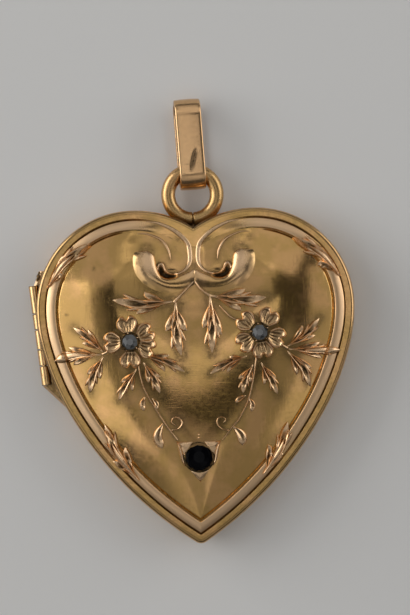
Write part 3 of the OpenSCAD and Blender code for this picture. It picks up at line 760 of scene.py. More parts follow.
def ball(rings, sides):
    """Points and faces of a unit ball."""
    points = [(0, 0, 1)]
    for i in range(1, rings):
        tilt = HALF_TURN * i / rings
        points += [(*(np.sin(tilt) * turned(FULL_TURN * j / sides)), np.cos(tilt)) for j in range(sides)]
    points.append((0, 0, -1))
    last = len(points) - 1
    faces = [(0, 1 + j, 1 + (j + 1) % sides) for j in range(sides)]
    for i in range(rings - 2):
        a, b = 1 + i * sides, 1 + (i + 1) * sides
        faces += [(a + j, b + j, b + (j + 1) % sides, a + (j + 1) % sides) for j in range(sides)]
    a = last - sides
    faces += [(last, a + (j + 1) % sides, a + j) for j in range(sides)]
    return np.array(points, float), faces


def loft(rings):
    """Points and quads between rings that all have the same number of places."""
    n = len(rings[0])
    faces = [
        (i * n + j, (i + 1) * n + j, (i + 1) * n + (j + 1) % n, i * n + (j + 1) % n)
        for i in range(len(rings) - 1) for j in range(n)
    ]
    return np.vstack(rings), faces


def closed_loft(rings):
    """The same, with quads from the last ring back to the first."""
    points, faces = loft([*rings, rings[0]])
    keep = len(points) - len(rings[0])
    return points[:keep], [tuple(k % keep for k in face) for face in faces]


def add_piece(name, points, faces, body, material, nodes=(), marks=None, crease=40):
    """Makes one mesh, in millimetres, that rides on a body and stands for the given nodes."""
    mesh = bpy.data.meshes.new(name)
    mesh.from_pydata((np.asarray(points, float) * MM).tolist(), [], faces)
    if mesh.validate():
        raise RuntimeError(f"{name}: the mesh had faults")
    for label, column in (("polish_and_highlight", 0), ("tarnish", 1)):
        values = np.zeros(len(mesh.vertices)) if marks is None else np.asarray(marks)[:, column]
        mesh.attributes.new(label, "FLOAT", "POINT").data.foreach_set("value", values.astype(np.float32))
    mesh.shade_smooth()
    mesh.set_sharp_from_angle(angle=np.radians(crease))
    mesh.materials.append(material)
    piece = bpy.data.objects.new(name, mesh)
    bpy.context.scene.collection.objects.link(piece)
    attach(piece, body)
    if nodes:
        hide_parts(*nodes)
    return piece


class Nodes:
    """Short calls that build one material's node tree."""

    def __init__(self, name):
        self.material = bpy.data.materials.get(name) or bpy.data.materials.new(name)
        self.material.use_nodes = True
        self.tree = self.material.node_tree
        self.tree.nodes.clear()
        self.surface = self.node("ShaderNodeBsdfPrincipled")
        output = self.node("ShaderNodeOutputMaterial")
        self.link(self.surface.outputs["BSDF"], output.inputs["Surface"])

    def node(self, kind, **settings):
        made = self.tree.nodes.new(kind)
        for name, value in settings.items():
            setattr(made, name, value)
        return made

    def link(self, source, target):
        self.tree.links.new(source, target)

    def put(self, value, socket):
        if isinstance(value, bpy.types.NodeSocket):
            self.link(value, socket)
        else:
            socket.default_value = value

    def place(self, scale=(1, 1, 1), turn=0.0):
        """The object's own coordinates in millimetres."""
        mapping = self.node("ShaderNodeMapping")
        mapping.inputs["Scale"].default_value = [s / MM for s in scale]
        mapping.inputs["Rotation"].default_value = (0, 0, turn)
        self.link(self.node("ShaderNodeTexCoord").outputs["Object"], mapping.inputs["Vector"])
        return mapping.outputs["Vector"]

    def noise(self, vector, scale, detail=3.0, rough=0.55):
        made = self.node("ShaderNodeTexNoise")
        self.link(vector, made.inputs["Vector"])
        for name, value in (("Scale", scale), ("Detail", detail), ("Roughness", rough)):
            made.inputs[name].default_value = value
        return made.outputs["Fac"]

    def ramp(self, value, low, high, to_low=0.0, to_high=1.0):
        made = self.node("ShaderNodeMapRange", interpolation_type="SMOOTHSTEP")
        for name, number in (("From Min", low), ("From Max", high), ("To Min", to_low), ("To Max", to_high)):
            made.inputs[name].default_value = number
        self.link(value, made.inputs["Value"])
        return made.outputs["Result"]

    def math(self, operation, a, b):
        made = self.node("ShaderNodeMath", operation=operation)
        made.use_clamp = operation == "ADD"
        self.put(a, made.inputs[0])
        self.put(b, made.inputs[1])
        return made.outputs[0]

    def mix(self, share, a, b):
        made = self.node("ShaderNodeMix", data_type="RGBA")
        for value, index in ((share, 0), (a, 6), (b, 7)):
            value = (*value, 1.0) if index and not isinstance(value, bpy.types.NodeSocket) else value
            self.put(value, made.inputs[index])
        return made.outputs[2]

    def mark(self, name):
        return self.node("ShaderNodeAttribute", attribute_name=name).outputs["Fac"]

    def bump(self, *heights):
        """Bump from pairs of a height and its depth in millimetres."""
        normal = None
        for height, depth in heights:
            made = self.node("ShaderNodeBump")
            made.inputs["Strength"].default_value = 1.0
            made.inputs["Distance"].default_value = depth * MM
            self.link(height, made.inputs["Height"])
            if normal is not None:
                self.link(normal, made.inputs["Normal"])
            normal = made.outputs["Normal"]
        self.link(normal, self.surface.inputs["Normal"])


def gold(name, settings, bright, base_polish=0.0, wear=1.0, matt=0.0, dull=0.0, stain=0.4):
    """Worn gold: a satin ground, pinker bright cuts that also stand for painted highlight, brown tarnish that
    also stands for painted shade, fine grain and hairline scratches.
    """
    made = Nodes(name)
    ground, bright, brown = map(tuple, (settings.ground, bright, settings.tarnish))
    place = made.place()
    cloud = made.noise(place, 0.32, 4)
    grain = made.noise(place, 9.0, 3)
    speck = made.noise(place, 2.6, 5, 0.7)
    hair = made.ramp(made.noise(made.place((10, 0.35, 1), 0.15), 1.0, 2), 0.58, 0.72)
    cross = made.ramp(made.noise(made.place((0.4, 9, 1), -0.5), 1.0, 2), 0.6, 0.74)
    polish_and_highlight = made.math("ADD", made.mark("polish_and_highlight"), base_polish)
    dirt_and_shade = made.math("MULTIPLY", made.mark("tarnish"), made.ramp(speck, 0.25, 0.6, 0.55, 1.0))
    warm = tuple(c * k for c, k in zip(ground, (0.92, 0.86, 0.76)))
    pink = tuple(c * k for c, k in zip(ground, (1.12, 1.0, 1.05)))
    tone = made.mix(made.ramp(cloud, 0.42, 0.62), warm, pink)
    tone = made.mix(made.ramp(grain, 0.35, 0.7, 0.0, 0.25), tone, warm)
    tone = made.mix(made.ramp(made.noise(place, 1.1, 5, 0.7), 0.58, 0.78, 0.0, stain), tone, brown)
    # The polish mark mixes in the pinker gold, partly as painted highlight; the tarnish mark then mixes in
    # the brown, partly as painted shade
    tone = made.mix(polish_and_highlight, tone, bright)
    tone = made.mix(dirt_and_shade, tone, brown)
    made.link(tone, made.surface.inputs["Base Color"])
    rough = made.ramp(polish_and_highlight, 0.0, 1.0, settings.ground_rough + dull, settings.bright_rough + matt)
    rough = made.math("ADD", rough, made.ramp(speck, 0.3, 0.7, -0.02, 0.05))
    rough = made.math("ADD", rough, made.ramp(dirt_and_shade, 0.2, 1.0, 0.0, 0.3))
    made.link(rough, made.surface.inputs["Roughness"])
    made.surface.inputs["Metallic"].default_value = 1.0
    made.bump((speck, 0.0018 * wear), (grain, 0.0012 * wear), (hair, 0.0012 * wear), (cross, 0.001 * wear))
    return made.material


def stone(name, tint, inclusion, index):
    """A polished stone: dark glass-bright body with a little cloud inside."""
    made = Nodes(name)
    cloud = made.noise(made.place(), 1.6, 3)
    deep = tuple(c * 0.35 for c in tint)
    made.link(made.mix(made.ramp(cloud, 0.35, 0.65, 0.0, inclusion), tuple(tint), deep),
              made.surface.inputs["Base Color"])
    made.link(made.ramp(cloud, 0.3, 0.7, 0.05, 0.12), made.surface.inputs["Roughness"])
    made.surface.inputs["IOR"].default_value = index
    return made.material


def gold_of(context, kind):
    """The gold of one part: the cover, its ornament, the case, the ring or the bail."""
    settings = context.scene.locket_gold
    bright = settings.strap if kind == "bail_gold" else settings.bright
    return gold(f"locket_{kind}", settings, bright, **GOLD_KINDS[kind])


def heart_of(context):
    return Heart(context.scene.locket_heart, context.scene.locket_relief)


def hinge_of(context):
    """The hinge's sizes in millimetres, with its axis and the ends of its knuckles along it."""
    hinge = millimetres(context.scene.locket_hinge)
    hinge.middle = np.array(context.scene.locket_hinge.middle) / MM
    hinge.way = turned(hinge.lean + QUARTER)
    hinge.inward = turned(hinge.lean)
    hinge.ends = KNUCKLE_ENDS
    return hinge


def clear_knuckles(points, hinge, knuckles, up, past):
    """Moves the wall's points beside the other half's knuckles, and a little past them, to clear them."""
    flat = points[:, :2] - hinge.middle[:2]
    along, off = flat @ hinge.way, flat @ hinge.inward
    reach = hinge.barrel_r + hinge.room
    room = np.sqrt(np.clip(reach ** 2 - off ** 2, 0, None))
    level = hinge.middle[2] + (room if up else -room)
    for k in knuckles:
        beside = (along > hinge.ends[k] - past) & (along < hinge.ends[k + 1] + past) & (np.abs(off) < reach)
        in_barrel = np.abs(points[:, 2] - hinge.middle[2]) < room + 0.001
        beyond = beside & (in_barrel if up else points[:, 2] > level)
        points[beyond, 2] = level[beyond]
    return points


class LOCKET_OT_cover(bpy.types.Operator):
    """Make the cover: rim, raised border, pillowed front and hollow underside"""

    bl_idname = "locket.cover"
    bl_label = "Cover"

    def execute(self, context):
        heart, hinge = heart_of(context), hinge_of(context)
        s = heart.size
        rings, marks = self.border(heart)
        count = len(rings[0])
        walls = [
            (0.0, s.seam_z + 0.12), (0.02, s.seam_z + 0.05), (SEAM_IN, s.seam_z + 0.015),
            (0.3, s.seam_z + 0.015), (s.wall_t, s.seam_z + 0.015), (s.wall_t, s.hollow_z - 0.05),
            (s.wall_t + 0.5, s.hollow_z),
        ]
        for inset, z in walls:
            rings.append(at_height(heart.outline(inset, COVER_STEPS), z))
            marks.append(np.tile([0.1, 0.7 if inset == SEAM_IN else 0.1], (count, 1)))
        under = heart.outline(FIELD_IN, COVER_STEPS)
        rings.append(at_height(under, heart.front(under) - s.skin_t))
        marks.append(np.zeros((count, 2)))
        points, faces = loft(rings)
        points = clear_knuckles(points, hinge, CASE_KNUCKLES, True, COVER_PAST)
        marks = np.vstack(marks)
        low = points[:, 2] < s.rim_z - 0.12
        marks[low, 1] = np.maximum(marks[low, 1], heart.grime_and_shade(points[low], hinge))

        grid, field = self.field(heart, rings[0][:, :2])
        top = at_height(grid, heart.front(grid))
        start, many = len(points), len(grid)
        upper = [*range(count), *range(start, start + many)]
        lower = [*range(start - count, start), *range(start + many, start + 2 * many)]
        faces += [tuple(upper[k] for k in face) for face in field]
        faces += [tuple(lower[k] for k in reversed(face)) for face in field]
        points = np.vstack([points, top, top - [0, 0, s.skin_t]])
        marks = np.vstack([marks, marks_of(0.0, self.tarnish(grid)), np.zeros((many, 2))])
        add_piece("cover_shell", points, faces, "lid", gold_of(context, "cover_gold"),
                  ["front_lid"], marks, crease=55)
        return {"FINISHED"}

    def border(self, heart):
        """Rings from the even field out over the raised border to the edge, with their marks."""
        rings, marks = [], []
        for inset in heart.insets:
            flat = heart.outline(inset, COVER_STEPS)
            share = heart.border_share(flat)
            rings.append(at_height(flat, heart.front(flat, np.full(len(flat), inset))))
            # The border's ridge and the outer edge take the pinker gold, partly as painted highlight; both
            # grooves are darkened with dirt and painted shade, and the rim outside the outer groove is
            # darkened a little, except by the cleft
            polish_and_highlight = share * ease((inset - 1.0) / 0.12) * ease((1.98 - inset) / 0.12)
            inner = 0.65 * (1 - heart.widening(flat)) * bell(inset - 2.02, 0.06)
            groove = 0.85 * bell(inset - 0.945, 0.05) + inner
            rim = 0.28 * heart.from_cleft(flat) if inset < OUTER_GROOVE_IN else 0.0
            marks.append(marks_of(polish_and_highlight + 0.6 * bell(inset, 0.2), share * groove + rim))
        return rings, marks

    def field(self, heart, inner):
        """Places of the even grid inside the border, and the triangles between them and the border."""
        low, high = inner.min(0), inner.max(0)
        xs, ys = np.arange(low[0], high[0], MIDDLE_GRID), np.arange(low[1], high[1], MIDDLE_GRID)
        grid = np.array([(x + (row % 2) * MIDDLE_GRID / 2, y) for row, y in enumerate(ys) for x in xs])
        inside = heart.side_depth(np.abs(grid[:, 0]), grid[:, 1], False) > FIELD_IN + 0.6 * MIDDLE_GRID
        grid = grid[inside]
        seeds = [Vector(p) for p in np.vstack([inner, grid]).tolist()]
        _, _, faces, origin, _, _ = delaunay_2d_cdt(seeds, [], [list(range(len(inner)))], 1, 1e-7)
        return grid, [tuple(origin[k][0] for k in face) for face in faces]

    def tarnish(self, grid):
        """Brown round the relief: tarnish and painted shade beside the leaves, flowers, scrolls and setting,
        painted shade in the hollow beside each roll, and dark spots for the pits.
        """
        paths = [(row[:3], 0.55 * row[3], 0.3) for row in LEAVES]
        paths += [(stem, 0.12, 0.16) for stem in STEMS]
        for side in (1, -1):
            for line, reach in ((OUTER_LINE, 0.14), (INNER_LINE, 0.1), (ROLL, 0.72)):
                paths.append((mirrored(line, side), reach, 0.22))
        dark = [0.55 * fringe(self.gap(path, grid), reach, fade) for path, reach, fade in paths]
        # The hollow beside each roll is painted dark as shade
        dark += [1.4 * bell(self.gap(mirrored(HOLLOW, side), grid), 0.3) for side in (1, -1)]
        dark += [0.75 * fringe(np.hypot(*(grid - centre).T), 1.8, 0.3) for centre, _ in FLOWERS]
        dark += [bell(np.hypot(*(grid - place).T), 0.13) for place in PITS]
        dark.append(0.5 * fringe(np.hypot(*(grid - SETTING_MIDDLE).T), 1.4, 0.25))
        return np.max(dark, axis=0)

    def gap(self, rows, grid):
        """Distance of each place from the smooth path through the rows."""
        return nearest(smooth_path(rows, 30), grid)[0]


class LOCKET_OT_leaves(bpy.types.Operator):
    """Make the leaf sprays, their stems and the four leaves of the border"""

    bl_idname = "locket.leaves"
    bl_label = "Leaves and Stems"

    def execute(self, context):
        heart = heart_of(context)
        size = heart.relief
        material = gold_of(context, "relief_gold")
        for name, side in (("left_spray", -1), ("right_spray", 1)):
            spray = Relief(heart)
            for row in LEAVES:
                if side * row[2][0] > 0:
                    spray.leaf(row, size.leaf_h)
            for root, middle, tip, half in SMALL_LEAVES:
                if side * tip[0] > 0:
                    spray.blade(root, middle, tip, half, 0.7 * size.leaf_h, CUPPED, count=18)
            for root, middle, tip, half in PLUMP_LEAVES:
                if side * tip[0] > 0:
                    spray.blade(root, middle, tip, half, 1.1 * size.leaf_h, BEADED)
            for stem in STEMS:
                if side * stem[-1][0] > 0:
                    spray.strip(stem, size.stem_h, BEADED, 30)
            spray.piece(name, "lid", "cover_gold", material)
        border = Relief(heart)
        for row in BORDER_LEAVES:
            border.leaf(row, size.border_leaf_h)
            spine = smooth_path(row[:3], 21)
            rows = [(*spine[k], half) for k, half in ((0, 0.04), (4, 0.2), (8, 0.32), (11, 0.26), (14, 0.05))]
            border.strip(rows, 1.2 * size.border_leaf_h, BEADED, 30)
        border.piece("border_leaves", "lid", "cover_gold", material)
        return {"FINISHED"}


class LOCKET_OT_scrolls(bpy.types.Operator):
    """Make the two scrolls that roll out of the border below the cleft"""

    bl_idname = "locket.scrolls"
    bl_label = "Scrolls"

    def execute(self, context):
        heart = heart_of(context)
        size = heart.relief
        for name, side in (("left_scroll", 1), ("right_scroll", -1)):
            scroll = Relief(heart)
            for rows, height, section, count, foot in (
                (OUTER_LINE, size.line_h, BEADED, 90, 0),
                (INNER_LINE, size.line_h * 0.6, BEADED, 40, 0),
                (ROLL, size.roll_h, ROUNDED, 60, 0.9),
            ):
                section = mirrored(section[::side], side)
                scroll.strip(mirrored(rows, side), height, section, count, blunt=0.25, foot=side * foot)
            scroll.piece(name, "lid", "cover_gold", gold_of(context, "relief_gold"))
        return {"FINISHED"}


class LOCKET_OT_flowers(bpy.types.Operator):
    """Make the two flowers with their petals, bezels and grains"""

    bl_idname = "locket.flowers"
    bl_label = "Flowers"

    def execute(self, context):
        heart = heart_of(context)
        radius = millimetres(context.scene.locket_stones).flower_r
        for name, (centre, headings) in zip(("left_flower", "right_flower"), FLOWERS):
            flower = Relief(heart)
            for heading in headings:
                flower.petal(centre, heading, heart.relief)
            bezel(flower, centre, radius, 0.22, 5)
            flower.piece(name, "lid", "cover_gold", gold_of(context, "relief_gold"))
        return {"FINISHED"}


def bezel(relief, centre, radius, rise, grains):
    """Ring of metal round a stone, painted dark all over as shade round the stone, with small grains pushed
    over its edge.
    """
    turns = np.linspace(0, FULL_TURN, 48, endpoint=False)
    base = relief.heart.front([centre])[0]
    profile = [
        (0.02, -0.25), (0.02, rise - 0.05), (0.06, rise), (0.13, rise - 0.01), (0.2, rise - 0.08),
        (0.24, -0.25),
    ]
    points, faces = closed_loft([level_ring(centre, radius + past, base + z, turns) for past, z in profile])
    relief.add(points, faces, np.tile([0.0, 1.0], (len(points), 1)))
    for k in range(grains):
        turn = FULL_TURN * (k + 0.4) / grains
        relief.grain(np.array(centre) + (radius + 0.1) * turned(turn), 0.085, rise)


class LOCKET_OT_setting(bpy.types.Operator):
    """Make the three-pointed setting of the dark stone"""

    bl_idname = "locket.setting"
    bl_label = "Pointed Setting"

    def execute(self, context):
        heart = heart_of(context)
        radius = millimetres(context.scene.locket_stones).point_r
        setting = Relief(heart)
        middle = np.array(SETTING_MIDDLE)
        for point in SETTING_POINTS:
            way = np.array(point) - middle
            reach = np.hypot(*way)
            way /= reach
            arm = (*SETTING_ARM, (reach - 0.2, 0.1), (reach, 0.02))
            rows = [(*(middle + way * out), half) for out, half in arm]
            setting.strip(rows, heart.relief.setting_h, FACETED, 24, blunt=0.6)
        for side in (1, -1):
            setting.strip(mirrored(SETTING_WING, side), heart.relief.setting_h, BEADED, 24, blunt=0.5)
        bezel(setting, SETTING_MIDDLE, radius, 0.2, 3)
        for place in ((0.02, -5.42), (0.03, -5.1)):
            setting.grain(place, 0.1, 0.0)
        setting.piece("stone_setting", "lid", "cover_gold", gold_of(context, "relief_gold"))
        return {"FINISHED"}


def rose_stone(name, heart, centre, radius, rise, sides, material, node):
    """A stone with a small table, two rows of facets above its girdle and a pointed foot."""
    base = heart.front([centre])[0] - 0.2
    points, quads = loft([
        level_ring(centre, wide * radius, base + tall * rise, FULL_TURN * (np.arange(sides) + shift) / sides)
        for wide, tall, shift in ROSE_CUT
    ])
    faces = [tuple(range(sides)), tuple(range(len(points) - 1, len(points) - 1 - sides, -1))]
    for a, b, c, d in quads:
        faces += [(a, b, c, d)] if a // sides == GIRDLE_BAND else [(a, b, c), (a, c, d)]
    add_piece(name, points, faces, "lid", material, [node], crease=5)


class LOCKET_OT_stones(bpy.types.Operator):
    """Make the two grey rose-cut stones and the dark stone"""

    bl_idname = "locket.stones"
    bl_label = "Stones"

    def execute(self, context):
        heart = heart_of(context)
        group = context.scene.locket_stones
        size = millimetres(group)
        grey = stone("locket_grey_stone", group.grey, 0.9, 2.2)
        dark = stone("locket_dark_stone", group.dark, 0.4, 1.15)
        for side, (centre, _) in zip(("left", "right"), FLOWERS):
            rose_stone(f"{side}_rose_stone", heart, centre, size.flower_r, 0.56, 8, grey,
                       f"{side}_diamond")
        rose_stone("dark_rose_stone", heart, SETTING_MIDDLE, size.point_r, 0.5, 12, dark,
                   "dark_stone")
        return {"FINISHED"}


class LOCKET_OT_case(bpy.types.Operator):
    """Make the back case with its rounded wall and snap lip"""

    bl_idname = "locket.case"
    bl_label = "Back Case"

    def execute(self, context):
        heart = heart_of(context)
        s = heart.size
        inner, top = s.lip_in + s.lip_t, s.seam_z + s.lip_h
        profile = [
            (1.9, s.floor_t), (1.5, 0.56), (1.22, 0.74), (1.05, 1.04), (inner, 1.4), (inner, top - 0.05),
            (inner - 0.05, top), (s.lip_in + 0.06, top), (s.lip_in, top - 0.08), (s.lip_in, s.seam_z - 0.01),
            (0.34, s.seam_z - 0.012), (SEAM_IN, s.seam_z - 0.015), (0.02, s.seam_z - 0.05),
            (0.0, s.seam_z - 0.12), (0.0, 2.2), (0.02, 1.9), (0.08, 1.52), (0.2, 1.15), (0.38, 0.82),
            (0.62, 0.55), (0.92, 0.34), (1.3, 0.17), (1.75, 0.06), (2.3, 0.0),
        ]
        rings, marks = [], []
        for inset, z in profile:
            rings.append(at_height(heart.outline(inset, CASE_STEPS), z))
            marks.append(np.tile([0.0, 0.8 if inset == SEAM_IN else 0.0], (len(rings[0]), 1)))
        points, faces = loft(rings)
        points = clear_knuckles(points, hinge_of(context), LID_KNUCKLES, False, CASE_PAST)
        marks = np.vstack(marks)
        marks[:, 1] = np.maximum(marks[:, 1], heart.grime_and_shade(points, hinge_of(context)) * (points[:, 2] > 0.5))
        n, last = len(rings[0]), len(points) - len(rings[0])
        faces += [tuple(range(n)), tuple(last + k for k in range(n - 1, -1, -1))]
        add_piece("case_shell", points, faces, "case", gold_of(context, "case_gold"),
                  ["back_case"], marks, crease=45)
        return {"FINISHED"}


class LOCKET_OT_hinge(bpy.types.Operator):
    """Make the knuckles, the bearer plate and its solder, and finish the pin"""

    bl_idname = "locket.hinge"
    bl_label = "Hinge"

    def execute(self, context):
        hinge = hinge_of(context)
        material = gold_of(context, "case_gold")
        for k in CASE_KNUCKLES:
            self.knuckle(hinge, k, "case", "case_gold", material)
        for k in LID_KNUCKLES:
            self.knuckle(hinge, k, "lid", "cover_gold", material)
        self.plate(hinge, material)
        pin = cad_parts["hinge_pin"]
        pin.data.materials.clear()
        pin.data.materials.append(material)
        return {"FINISHED"}

    def knuckle(self, hinge, k, body, slot, material):
        """One knuckle, slightly rounded at its ends, painted dark there and along its side towards the heart,
        as shade in the gaps and the recess.
        """
        start, end = hinge.ends[k] + hinge.gap / 2, hinge.ends[k + 1] - hinge.gap / 2
        r = hinge.barrel_r
        tip = [(0, 0.28), (0, r - 0.02), (0.02, r), (0.045, r), (0.075, r)]
        stations = [(start + past, radius) for past, radius in tip]
        stations += [(start + (end - start) * t, r) for t in (0.25, 0.5, 0.75)]
        stations += [(end - past, radius) for past, radius in reversed(tip)]
        turns = np.linspace(0, FULL_TURN, 40, endpoint=False)
        inward, up = np.array([*hinge.inward, 0]), np.array([0, 0, 1])
        rings = [
            hinge.middle + along * np.array([*hinge.way, 0])
            + radius * (np.cos(turns)[:, None] * inward + np.sin(turns)[:, None] * up)
            for along, radius in stations
        ]
        points, faces = closed_loft(rings)
        # Painted shade: dark along the side that faces the heart, and at both ends in the gaps between
        # knuckles
        brown = np.clip(np.cos(turns) - 0.25, 0, 1)
        marks = [marks_of(0.25, brown + (min(along - start, end - along) < 0.05)) for along, _ in stations]
        add_piece(f"knuckle_{k + 1}", points, faces, body, material, marks=np.vstack(marks))

    def plate(self, hinge, material):
        """The bearer plate: its long edge is cut out round the cover's knuckles."""
        notch = hinge.barrel_r + hinge.room + 0.02
        edge = [(4.95, 0)]
        for k in reversed(LID_KNUCKLES):
            above, below = hinge.ends[k + 1] + PLATE_PAST, hinge.ends[k] - PLATE_PAST
            edge += [(above, 0), (above, notch), (below, notch), (below, 0)]
        edge += [(-5.08, 0), (-5.08, -0.42)]
        outer = [hinge.middle[:2] + along * hinge.way + off * hinge.inward for along, off in edge]
        first, *rest = PLATE_CORNERS
        loop = np.array([first, *outer, *rest])
        inward = np.column_stack([np.ones(len(loop)), 0.35 * np.sign(PLATE_MIDDLE_Y - loop[:, 1])])
        top = hinge.middle[2] - 0.01
        # Columns: distance in from the edge, height, polish, tarnish. The bevel's full polish is partly
        # painted highlight; the top inside the bevel and the lower edge are darkened as painted shade
        levels = [
            (0.0, top - hinge.plate_t, 0, 0.7), (0.0, top - 0.45 * hinge.bevel, 1, 0),
            (hinge.bevel, top, 1, 0), (hinge.bevel + 0.03, top, 0.1, 0.6),
        ]
        points, faces = loft([at_height(loop + inset * inward, z) for inset, z, *_ in levels])
        n, last = len(loop), len(points) - len(loop)
        faces = [tuple(range(n))[::-1], *faces, tuple(range(last, len(points)))]
        marks = np.vstack([np.tile(row[2:], (n, 1)) for row in levels])
        add_piece("hinge_plate", points, faces, "case", material, marks=marks, crease=20)
        solder = Solder()
        for x, y, z, r in HINGE_SOLDER:
            solder.lump((x, y, z), (r, 1.2 * r, 0.8 * r), 0.22)
        solder.piece("hinge_solder", "case", "case_gold", material)


class LOCKET_OT_ring(bpy.types.Operator):
    """Make the soldered jump ring with its closed joint"""

    bl_idname = "locket.ring"
    bl_label = "Jump Ring"

    def execute(self, context):
        size = millimetres(context.scene.locket_bail)
        material = gold_of(context, "ring_gold")
        seam = -QUARTER
        turns = seam + np.r_[np.linspace(-0.12, 0.12, 25), np.linspace(0.16, FULL_TURN - 0.16, 110)]
        sides = np.linspace(0, FULL_TURN, 36, endpoint=False)
        rings, marks = [], []
        for turn in turns:
            off = (turn - seam + HALF_TURN) % FULL_TURN - HALF_TURN
            cut = bell(off * size.ring_r, 0.07)
            wire = size.wire_r * (1 - 0.25 * cut)
            reach = size.ring_r + wire * np.cos(sides)
            rings.append(np.column_stack([reach * np.cos(turn), size.ring_y + reach * np.sin(turn),
                                          size.ring_z + wire * np.sin(sides)]))
            # Painted shade: the lower part of the ring by the heart is darkened, most on its outer side; the
            # joint's cut is dark and the whole ring has a little tarnish
            low = 0.9 * bell(off, 0.9) * np.clip(0.1 + 1.2 * np.cos(sides), 0, 1)
            marks.append(marks_of(0.1, np.maximum(np.maximum(cut, low), 0.15)))
        points, faces = closed_loft(rings)
        faces = [face[::-1] for face in faces]
        add_piece("jump_ring", points, faces, "case", material, marks=np.vstack(marks))
        solder = Solder()
        y = size.ring_y - size.ring_r - size.wire_r - 0.1
        solder.lump((0, y, size.ring_z - 0.25), (1.0, 0.62, 0.5), 0.25)
        for x in (-0.6, 0.65):
            solder.lump((x, y - 0.05, size.ring_z - 0.35), (0.5, 0.45, 0.35), 0.3)
        solder.piece("ring_solder", "case", "case_gold", material)
        return {"FINISHED"}


class LOCKET_OT_bail(bpy.types.Operator):
    """Make the strap bail, a flat strap bent into a long loop"""

    bl_idname = "locket.bail"
    bl_label = "Strap Bail"

    def execute(self, context):
        size = millimetres(context.scene.locket_bail)
        section = self.section(size)
        across, outer = -section[:, 0], section[:, 1] > 0
        half_w = size.strap_w / 2
        rings, marks = [], []
        for x, y, nx, ny in self.loop(size):
            front = outer * (nx > 0.5)
            dent = np.exp(-((y - 1.3) / 0.95) ** 4 - ((across - 0.18 - 0.3 * (y - 1.3)) / 0.19) ** 2) * front
            scratch = 0.4 * np.exp(-((y - 0.85) / 0.07) ** 2 - ((across + 0.5) / 0.3) ** 2) * front
            out = section[:, 1] - size.crown * (across / half_w) ** 2 * outer - 0.07 * dent
            rings.append(np.column_stack([x + nx * out, y + ny * out, section[:, 0]]))
            # Painted shade: the two bends are darkened where the strap turns away; the dent is darkened with
            # dirt and painted shade, the scratch is wear, and the inner faces are darkened by half
            bend_shade = 0.3 * ease((y - size.strap_l - 0.7) / 0.6) + 0.15 * ease((-y - 0.5) / 0.5)
            grime_and_shade = np.where(outer, np.maximum(np.maximum(dent, scratch), bend_shade), 0.5)
            marks.append(marks_of(0.2, grime_and_shade))
        points, faces = closed_loft(rings)
        turn = (Matrix.Rotation(-size.drop, 3, "X") @ Matrix.Rotation(size.lean, 3, "Z")
                @ Matrix.Rotation(size.twist - QUARTER, 3, "Y"))
        points = points @ np.array(turn).T + [0, size.pivot_y, size.ring_z]
        add_piece("bail_strap", points, faces, "bail", gold_of(context, "bail_gold"), ["bail"],
                  np.vstack(marks))
        return {"FINISHED"}

    def loop(self, size):
        """Places along the middle of the strap's thickness, each with the way out from there."""
        middle_r = size.bend_r + size.strap_t / 2
        bends = np.linspace(0, HALF_TURN, 36)
        legs = np.linspace(0, size.strap_l, 64)[1:-1]
        return [
            *((*(middle_r * turned(t) + [0, size.strap_l]), *turned(t)) for t in bends),
            *((-middle_r, size.strap_l - y, -1, 0) for y in legs),
            *((*(-middle_r * turned(t)), *(-turned(t))) for t in bends),
            *((middle_r, y, 1, 0) for y in legs),
        ]

    def section(self, size):
        """The strap's section: rounded corners and two broad faces, which have more places for wear."""
        half_w, half_t, corner = size.strap_w / 2, size.strap_t / 2, 0.14
        places = []
        for cx, cy, first in ((1, 1, 0), (-1, 1, 1), (-1, -1, 2), (1, -1, 3)):
            middle = np.array([cx * (half_w - corner), cy * (half_t - corner)])
            places += [middle + corner * turned(QUARTER * (first + k / 4)) for k in range(5)]
            if cx * cy > 0:
                places += [(cx * (half_w - corner) * (1 - k / 11), cy * half_t) for k in range(2, 21)]
        return np.array(places)


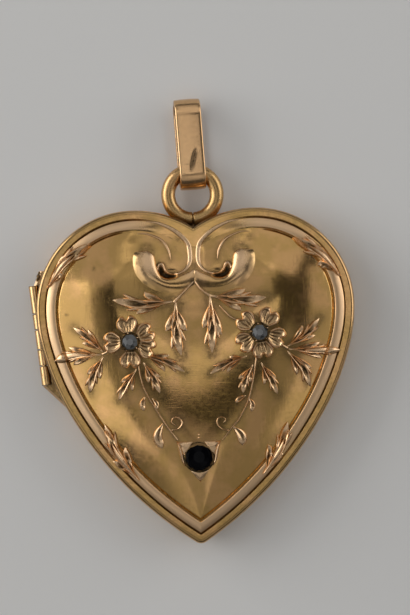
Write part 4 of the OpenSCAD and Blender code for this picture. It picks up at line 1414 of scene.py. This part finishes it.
class LOCKET_OT_studio(bpy.types.Operator):
    """Make the camera, the pale floor and the soft lamps"""

    bl_idname = "locket.studio"
    bl_label = "Studio"

    def execute(self, context):
        group = context.scene.locket_studio
        scene = context.scene
        self.camera(scene, millimetres(group))
        self.floor(group)
        for name, side, tilt, width, depth, glow in LAMPS:
            lamp = bpy.data.lights.new(name, "AREA")
            lamp.shape, lamp.size, lamp.size_y = "RECTANGLE", width, depth
            lamp.energy = glow * HALF_TURN * width * depth
            lamp_object = bpy.data.objects.new(name, lamp)
            turn = Euler((np.radians(tilt), 0, np.radians(side + 90)))
            lamp_object.rotation_euler = turn
            lamp_object.location = Vector(LAMP_AIM) + turn.to_matrix() @ Vector((0, 0, LAMP_REACH))
            scene.collection.objects.link(lamp_object)
        world = scene.world or bpy.data.worlds.new("studio")
        scene.world = world
        world.use_nodes = True
        background = world.node_tree.nodes["Background"]
        background.inputs["Color"].default_value = (1.0, 0.985, 0.96, 1.0)
        background.inputs["Strength"].default_value = group.sky
        scene.view_settings.view_transform = "Standard"
        return {"FINISHED"}

    def camera(self, scene, size):
        """Looks straight down on the front; the view's width fits the shorter side of the picture."""
        data = bpy.data.cameras.new("camera")
        view_l = size.view_w * PICTURE_HIGH / PICTURE_WIDE
        data.sensor_width = 36.0
        data.lens = data.sensor_width / view_l * (size.camera_h - VIEW_LEVEL)
        data.clip_start, data.clip_end = 0.01, 10
        camera = bpy.data.objects.new("camera", data)
        camera.location = Vector((size.view_x, size.view_y, size.camera_h)) * MM
        camera.rotation_euler = (0, 0, size.roll)
        scene.collection.objects.link(camera)
        scene.camera = camera

    def floor(self, group):
        """A plain pale sheet under the locket."""
        made = Nodes("studio_floor")
        cloud = made.ramp(made.noise(made.place(), 0.02, 2), 0.3, 0.7, 0.0, 0.04)
        tone = made.mix(cloud, tuple(group.floor), tuple(0.9 * c for c in group.floor))
        made.link(tone, made.surface.inputs["Base Color"])
        made.surface.inputs["Roughness"].default_value = 0.85
        mesh = bpy.data.meshes.new("floor")
        corners = [(x * FLOOR_HALF, y * FLOOR_HALF, 0) for x, y in ((-1, -1), (1, -1), (1, 1), (-1, 1))]
        mesh.from_pydata(corners, [], [(0, 1, 2, 3)])
        mesh.materials.append(made.material)
        floor = bpy.data.objects.new("floor", mesh)
        floor.location.z = -FLOOR_DROP
        bpy.context.scene.collection.objects.link(floor)


GROUPS = {
    "locket_heart": LocketHeart, "locket_relief": LocketRelief, "locket_hinge": LocketHinge,
    "locket_bail": LocketBail, "locket_stones": LocketStones, "locket_gold": LocketGold,
    "locket_studio": LocketStudio,
}
PIECES = (
    LOCKET_OT_studio, LOCKET_OT_cover, LOCKET_OT_leaves, LOCKET_OT_scrolls, LOCKET_OT_flowers,
    LOCKET_OT_setting, LOCKET_OT_stones, LOCKET_OT_case, LOCKET_OT_hinge, LOCKET_OT_ring, LOCKET_OT_bail,
)


class LOCKET_PT_sidebar(bpy.types.Panel):
    """Sizes, colours and the buttons that make each piece"""

    bl_idname = "LOCKET_PT_sidebar"
    bl_label = "Heart Locket"
    bl_space_type = "VIEW_3D"
    bl_region_type = "UI"
    bl_category = "Locket"

    def draw(self, context):
        for name, group in GROUPS.items():
            box = self.layout.box()
            box.label(text=group.__doc__)
            for prop in group.__annotations__:
                box.prop(getattr(context.scene, name), prop)
        for piece in PIECES:
            self.layout.operator(piece.bl_idname)


def register():
    for cls in (*GROUPS.values(), *PIECES, LOCKET_PT_sidebar):
        bpy.utils.register_class(cls)
    for name, group in GROUPS.items():
        setattr(bpy.types.Scene, name, PointerProperty(type=group))


def unregister():
    for name in GROUPS:
        delattr(bpy.types.Scene, name)
    for cls in (LOCKET_PT_sidebar, *reversed(PIECES), *reversed(GROUPS.values())):
        bpy.utils.unregister_class(cls)


def main():
    register()
    for piece in PIECES:
        group, name = piece.bl_idname.split(".")
        getattr(getattr(bpy.ops, group), name)()


if __name__ == "__main__":
    main()
